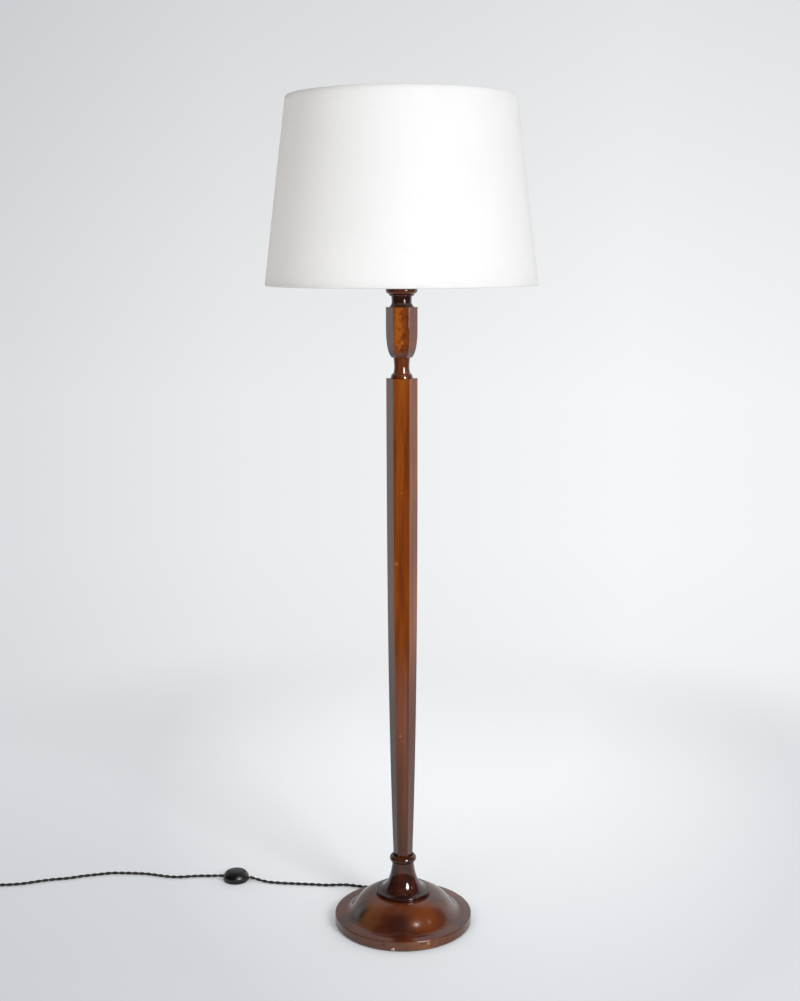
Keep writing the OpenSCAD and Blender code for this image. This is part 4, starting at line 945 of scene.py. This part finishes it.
# %% [markdown]
# ## Foot switch
# A round foot switch is moulded in black phenolic plastic: an upright skirt, a shoulder that slopes
# up to the lip of a well, and a domed button in the well. Both mouldings are turned shapes about the
# switch's own axis, so they are spun as the wood was and then moved to their place.

# %% Switch cover and button
switch_place = Matrix.Translation(switch_at) @ Matrix.Rotation(switch_turn, 4, "Z")
well_r, lip_z, lip_round, well_foot_z = 16.9, 19.0, 1.7, 14.4
inner_r = switch_r - 2
shell_outline = ([(inner_r + 0.8, 0), (switch_r - 0.4, 1.1), (switch_r, 2.5), (switch_r, 9.6)]
                 + curve((switch_r, 10.3), (switch_r - 0.7, 11.6), (well_r + 6, lip_z - 0.5),
                         (well_r + 2.4, lip_z), 24)
                 + arc((well_r + lip_round, lip_z - lip_round), lip_round, 75, 180, 8)
                 + [(well_r, well_foot_z), (inner_r - 0.4, well_foot_z - 2), (inner_r, 7),
                    (inner_r, 0), (inner_r + 0.8, 0)])
switch_shell = finished("moulded_switch_cover", spun(shell_outline, 96, place=switch_place), "lamp",
                        ["switch_cover"])

# The button is a cap with a thin skirt, whose flange stays under the rim of the well.
button_r, button_top_z, button_under_z, flange_top_z = 16.5, 21.5, 17.5, 14.0
skirt_r, flange_r = button_r - 1.6, button_r + 1.5
button_outline = ([(0, button_under_z), (skirt_r, button_under_z), (skirt_r, flange_top_z - 1),
                   (flange_r, flange_top_z - 1), (flange_r, flange_top_z),
                   (button_r, flange_top_z), (button_r, button_top_z - 3)]
                  + curve((button_r - 0.2, button_top_z - 2.2), (button_r - 1, button_top_z - 1.2),
                          (button_r - 8, button_top_z), (0, button_top_z), 20))
switch_knob = finished("moulded_switch_button", spun(button_outline, 80, place=switch_place),
                       "button", ["switch_button"])

# Short collars line the two holes in the skirt, where the flex goes in.
bm = bmesh.new()
for way in (-1, 1):
    collar = bmesh.ops.create_cone(
        bm, cap_ends=True, segments=40, radius1=4.6 * mm, radius2=4.2 * mm, depth=4 * mm,
        matrix=switch_place
        @ Matrix.Translation((way * (switch_r - 0.7) * mm, 0, switch_flex_z * mm))
        @ Matrix.Rotation(math.radians(90 * way), 4, "Y"))
    rims = [e for v in collar["verts"] for e in v.link_edges if e.calc_face_angle(0) > 1]
    bmesh.ops.bevel(bm, geom=list(set(rims)), offset=0.6 * mm, offset_type="OFFSET", segments=3,
                    profile=0.5, affect="EDGES", clamp_overlap=True, material=-1)
switch_collars = finished("moulded_flex_collars", bm, "lamp")

# The return spring shortens as the button goes down, to leave the pressed button its 3 mm and a
# running gap. So a wire of the same size stands for the CAD one and is squashed towards its foot,
# to leave the pressed button its 3 mm and a running gap. A wire of the same size stands for the
# CAD one, drawn at its full height.
spring_turns, spring_r, wire_r, spring_foot_z, spring_tall = 4, 4.15, 0.45, 7.5, 9.7
button_travel, steps = 3.0, 24 * spring_turns
spring_line = []
for i in range(steps + 1):
    out = spring_r * heading(2 * math.pi * spring_turns * i / steps)
    rise = spring_foot_z + wire_r + (spring_tall - 2 * wire_r) * i / steps
    spring_line.append(switch_place @ ((out + Vector((0, 0, rise))) * mm))
return_spring = tubes("return_spring", [spring_line], wire_r * mm,
                      ["switch_spring"])
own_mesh(return_spring)


# %% [markdown]
# ## Felt under the base
# The underside is covered with a disc of green baize, so that the iron weight and the screws don't
# scratch the floor. Baize is a napped wool cloth: matt, soft at the edge and covered with short
# fibres lying every way, so its pattern is two noises stretched across each other, and a little
# sheen lights the nap at a low angle. The fibres are drawn 0.6 mm wide, where wool is a tenth of it.

# %% Baize
felt = finished("base_felt", spun([(0, 0), (felt_r - 0.8, 0), (felt_r - 0.2, 0.3), (felt_r, 1.0),
                                   (felt_r, felt_t), (0, felt_t)], 144),
                "lamp", ["base_baize"], smooth_below=50)

baize, tree = new_material("green_wool_baize")
place = add(tree, "TexCoord").outputs["Object"]
fibres = []
for scale in ((1700, 260, 900), (260, 1700, 900)):
    lying = add(tree, "Mapping", {"Vector": place, "Scale": scale})
    fibres.append(add(tree, "TexNoise", {"Vector": lying, "Scale": 1.0, "Detail": 3.0,
                                         "Distortion": 1.2}))
nap = add(tree, "Math", {0: fibres[0], 1: fibres[1]}, operation="MAXIMUM")
nap_tone = stops(add(tree, "ValToRGB", {"Fac": nap}), (0.45, "#222d1c"), (0.75, "#46563a"))
nap_bump = add(tree, "Bump", {"Height": nap, "Distance": 0.4 * mm, "Strength": 0.8})
shader = add(tree, "BsdfPrincipled", {"Base Color": nap_tone, "Roughness": 1.0, "Sheen Weight": 0.4,
                                      "Sheen Roughness": 0.6, "Specular IOR Level": 0.1,
                                      "Normal": nap_bump})
add(tree, "OutputMaterial", {"Surface": shader})
dress(felt, baize)


# %% [markdown]
# ## Braided cotton flex
# Each core of the flex is covered with a braid of black cotton: sixteen threads, half of them
# running round to the left and half to the right. Cotton is matt with a soft sheen, and even black
# cotton is only a very dark grey. The tube's own UV map runs along it in U and round it in V, so two
# sine waves on the two diagonals give the braid, and the higher one at each place is the thread on
# top. The threads are drawn 0.9 mm wide, about twice the real width.

# %% Flex inside the lamp, and the braid
# The flex runs level from the rim to a quarter bend under the column, and then up the bores.
bend_r = 22 * mm
bend_start = bend_r * flex_heading + exit_height
quarter = [math.radians(90 * i / 12) for i in range(1, 13)]
bend = [bend_r * (1 - math.sin(a)) * flex_heading
        + Vector((0, 0, 31 * mm - bend_r * math.cos(a))) for a in quarter]
inner_route = ([flex_out, flex_out.lerp(bend_start, 0.5), bend_start] + bend
               + [Vector((0, 0, z * mm)) for z in (60, 200, 500, 800, 1100, 1277)])
inner_line = smooth_route(inner_route, 4.0 * mm)
flex_inside = twisted_pair("flex_inside", inner_line, ["inner_flex"])
print("flex inside the lamp", round(route_length(inner_line), 3), "m")


def braided_cotton(name, length):
    """Braid for a tube of this length in metres, whose U runs along it and V round it."""
    made, tree = new_material(name)
    along_and_round = add(tree, "SeparateXYZ", {0: add(tree, "TexCoord").outputs["UV"]})
    crossings_round, crossing_step = 4, 2.6 * mm
    lengthwise = add(tree, "Math", {0: along_and_round.outputs["X"],
                                    1: 2 * math.pi * length / crossing_step}, operation="MULTIPLY")
    threads_over = []
    for way in (-1, 1):
        phase = add(tree, "Math", {0: along_and_round.outputs["Y"],
                                   1: way * 2 * math.pi * crossings_round,
                                   2: lengthwise}, operation="MULTIPLY_ADD")
        threads_over.append(add(tree, "Math", {0: phase}, operation="SINE"))
    top = add(tree, "Math", {0: threads_over[0], 1: threads_over[1]}, operation="MAXIMUM")
    lint = add(tree, "TexNoise", {"Vector": add(tree, "TexCoord").outputs["Object"], "Scale": 700.0,
                                  "Detail": 3.0})
    # The thread on top is drawn paler and the one beneath darker, a painted highlight and painted
    # shade on the braid, with lint over both.
    worn = add(tree, "Math", {0: lint, 1: 0.8, 2: top}, operation="MULTIPLY_ADD")
    tone = stops(add(tree, "ValToRGB", {"Fac": add(tree, "MapRange", {
        "Value": worn, "From Min": -0.4, "From Max": 1.6})}),
        (0.1, "#0d0c0c"), (0.6, "#1d1b1a"), (0.95, "#353230"))
    bump = add(tree, "Bump", {"Height": top, "Distance": 0.15 * mm, "Strength": 0.7})
    shader = add(tree, "BsdfPrincipled", {"Base Color": tone, "Roughness": 0.85,
                                          "Sheen Weight": 0.25, "Sheen Roughness": 0.4,
                                          "Specular IOR Level": 0.25, "Normal": bump})
    add(tree, "OutputMaterial", {"Surface": shader})
    return made


for piece, line in ((flex_to_switch, lamp_side_line), (flex_to_plug, plug_side_line),
                    (flex_inside, inner_line)):
    dress(piece, braided_cotton("braided_cotton_" + piece.name, route_length(line)))


# %% [markdown]
# ## Metals
# The lampholder is turned and spun brass, lightly lacquered and dulled by handling. A lathe leaves
# fine grooves that run round the axis, so the pattern changes only with the height and the radius.
# They are 0.1 mm apart on the real brass and are drawn 0.4 mm apart. Stains make the colour darker
# and the surface rougher in the same places. The same recipe with other numbers gives the
# aluminium cap of the bulb, the bright steel of the screws and of the small ring on the flex, and
# the grey wire of the return spring.

# %% Turned and plated metals
def turned_metal(name, bright, dull, smooth, rough, groove=0.4, stain_size=14.0):
    """Metal with lathe grooves; sizes in millimetres, smooth and rough are the roughness range."""
    made, tree = new_material(name)
    grooves = add(tree, "Mapping", {"Vector": round_the_axis(tree, 1.0),
                                    "Scale": (0, 1 / (groove * mm), 1 / (groove * mm))})
    ridge = add(tree, "TexNoise", {"Vector": grooves, "Scale": 1.0, "Detail": 2.0})
    stain = add(tree, "TexNoise", {"Vector": add(tree, "TexCoord").outputs["Object"],
                                   "Scale": 1 / (stain_size * mm), "Detail": 4.0,
                                   "Roughness": 0.6})
    dulled = add(tree, "MapRange", {"Value": stain, "From Min": 0.42, "From Max": 0.68})
    tone = add(tree, "Mix", {"Factor": dulled, "A": linear(bright), "B": linear(dull)},
               data_type="RGBA")
    roughness = add(tree, "MapRange", {"Value": dulled, "To Min": smooth, "To Max": rough})
    bump = add(tree, "Bump", {"Height": ridge, "Distance": 0.02 * mm, "Strength": 0.5})
    shader = add(tree, "BsdfPrincipled", {"Base Color": tone, "Metallic": 1.0,
                                          "Roughness": roughness,
                                          "Normal": bump})
    add(tree, "OutputMaterial", {"Surface": shader})
    return made


metals = {
    turned_metal("lacquered_turned_brass", "#c9a45a", "#9b7638", 0.22, 0.42):
        ["holder_cap", "holder_body", "clamp_ring", "holder_nipple"],
    turned_metal("plain_contact_brass", "#d0ae68", "#a5854a", 0.30, 0.50, stain_size=6.0):
        ["holder_plungers", "plug_pins", "switch_contacts"],
    turned_metal("drawn_aluminium", "#cfd0d1", "#b2b3b4", 0.30, 0.45, stain_size=8.0):
        ["bulb_cap"],
    turned_metal("bright_zinc_plated_steel", "#c4c4c0", "#9c9b96", 0.25, 0.45, stain_size=5.0):
        ["ballast_screws", "pedestal_screws", "switch_screws", "plug_screw", "flex_ferrule"],
}
for metal, names in metals.items():
    for name in names:
        dress(nodes[name], metal)
# Cold-drawn steel wire is darker than plated steel, and smooth along its length.
dress(return_spring, turned_metal("hardened_spring_wire", "#9a9a98", "#6f6e6a", 0.30, 0.50,
                                  stain_size=3.0))


# %% [markdown]
# ## Moulded, coated and cast surfaces
# The rest is moulded, coated or cast: black phenolic for the switch and the plug, brown phenolic
# inside the lampholder, rubber for the grommet, nylon for the switch's rotor, white powder coat on
# the shade's wires, porcelain for the fuse and rough cast iron for the weight. Each has a skin with
# its own grain: the fine texture of a mould, the orange peel of a powder coat, the sand marks of a
# casting. So one recipe takes the two tones, the gloss, and the size and depth of that grain.

# %% Moulded, coated and cast materials
def skinned(name, tone, faded, roughness, grain, depth, **inputs):
    """Material with a grained skin; grain and depth are in millimetres."""
    made, tree = new_material(name)
    place = add(tree, "TexCoord").outputs["Object"]
    skin = add(tree, "TexNoise", {"Vector": place, "Scale": 1 / (grain * mm), "Detail": 3.0})
    patches = add(tree, "TexNoise", {"Vector": place, "Scale": 70.0, "Detail": 3.0})
    worn = add(tree, "MapRange", {"Value": patches, "From Min": 0.40, "From Max": 0.70})
    colour = add(tree, "Mix", {"Factor": worn, "A": linear(tone), "B": linear(faded)},
                 data_type="RGBA")
    dulled = add(tree, "MapRange", {"Value": worn, "To Min": roughness * 0.85,
                                    "To Max": min(1.0, roughness * 1.3)})
    bump = add(tree, "Bump", {"Height": skin, "Distance": depth * mm, "Strength": 0.5})
    shader = add(tree, "BsdfPrincipled", {"Base Color": colour, "Roughness": dulled,
                                          "Normal": bump, **inputs})
    add(tree, "OutputMaterial", {"Surface": shader})
    return made


black_phenolic = skinned("black_phenolic_moulding", "#0c0c0c", "#161616", 0.36, 1.0, 0.03,
                         IOR=1.45)
for piece in (switch_shell, switch_knob, switch_collars):
    dress(piece, black_phenolic)
skins = {
    black_phenolic: ["switch_base", "plug_base", "plug_cover"],
    skinned("brown_phenolic_moulding", "#3a1d10", "#4a2918", 0.35, 1.2, 0.04, IOR=1.6):
        ["holder_core"],
    skinned("black_rubber_moulding", "#121212", "#232221", 0.62, 0.8, 0.05): ["flex_grommet"],
    skinned("natural_nylon_moulding", "#dcd7c4", "#cfc8b0", 0.40, 1.5, 0.03, IOR=1.53):
        ["switch_rotor"],
    skinned("white_powder_coated_steel", "#e6e6e3", "#dad9d4", 0.38, 0.7, 0.06):
        ["fitter_ring", "shade_spokes", "shade_bottom_wire", "shade_top_wire"],
    skinned("glazed_white_porcelain", "#e6e2d6", "#d8d2c2", 0.20, 2.0, 0.02): ["plug_fuse"],
    skinned("sand_cast_grey_iron", "#2e2d2b", "#453c34", 0.70, 1.6, 0.5, Metallic=0.6):
        ["ballast_weight"],
}
for skin, names in skins.items():
    for name in names:
        dress(nodes[name], skin)

# Opal glass: a clear gloss skin over a white, milky body that glows a little from behind.
opal, tree = new_material("opal_glass_blown")
milk = add(tree, "TexNoise", {"Vector": add(tree, "TexCoord").outputs["Object"], "Scale": 30.0})
milk_tone = stops(add(tree, "ValToRGB", {"Fac": milk}), (0.3, "#efece3"), (0.7, "#f4f2ec"))
milk_bump = add(tree, "Bump", {"Height": milk, "Distance": 0.3 * mm, "Strength": 0.2})
front = add(tree, "BsdfPrincipled", {"Base Color": milk_tone, "Roughness": 0.12, "IOR": 1.5,
                                     "Normal": milk_bump})
lit_through(tree, front, 0.3, "#f2eee4")
dress(nodes["bulb_glass"], opal)


# %% Finish
bpy.context.view_layer.update()
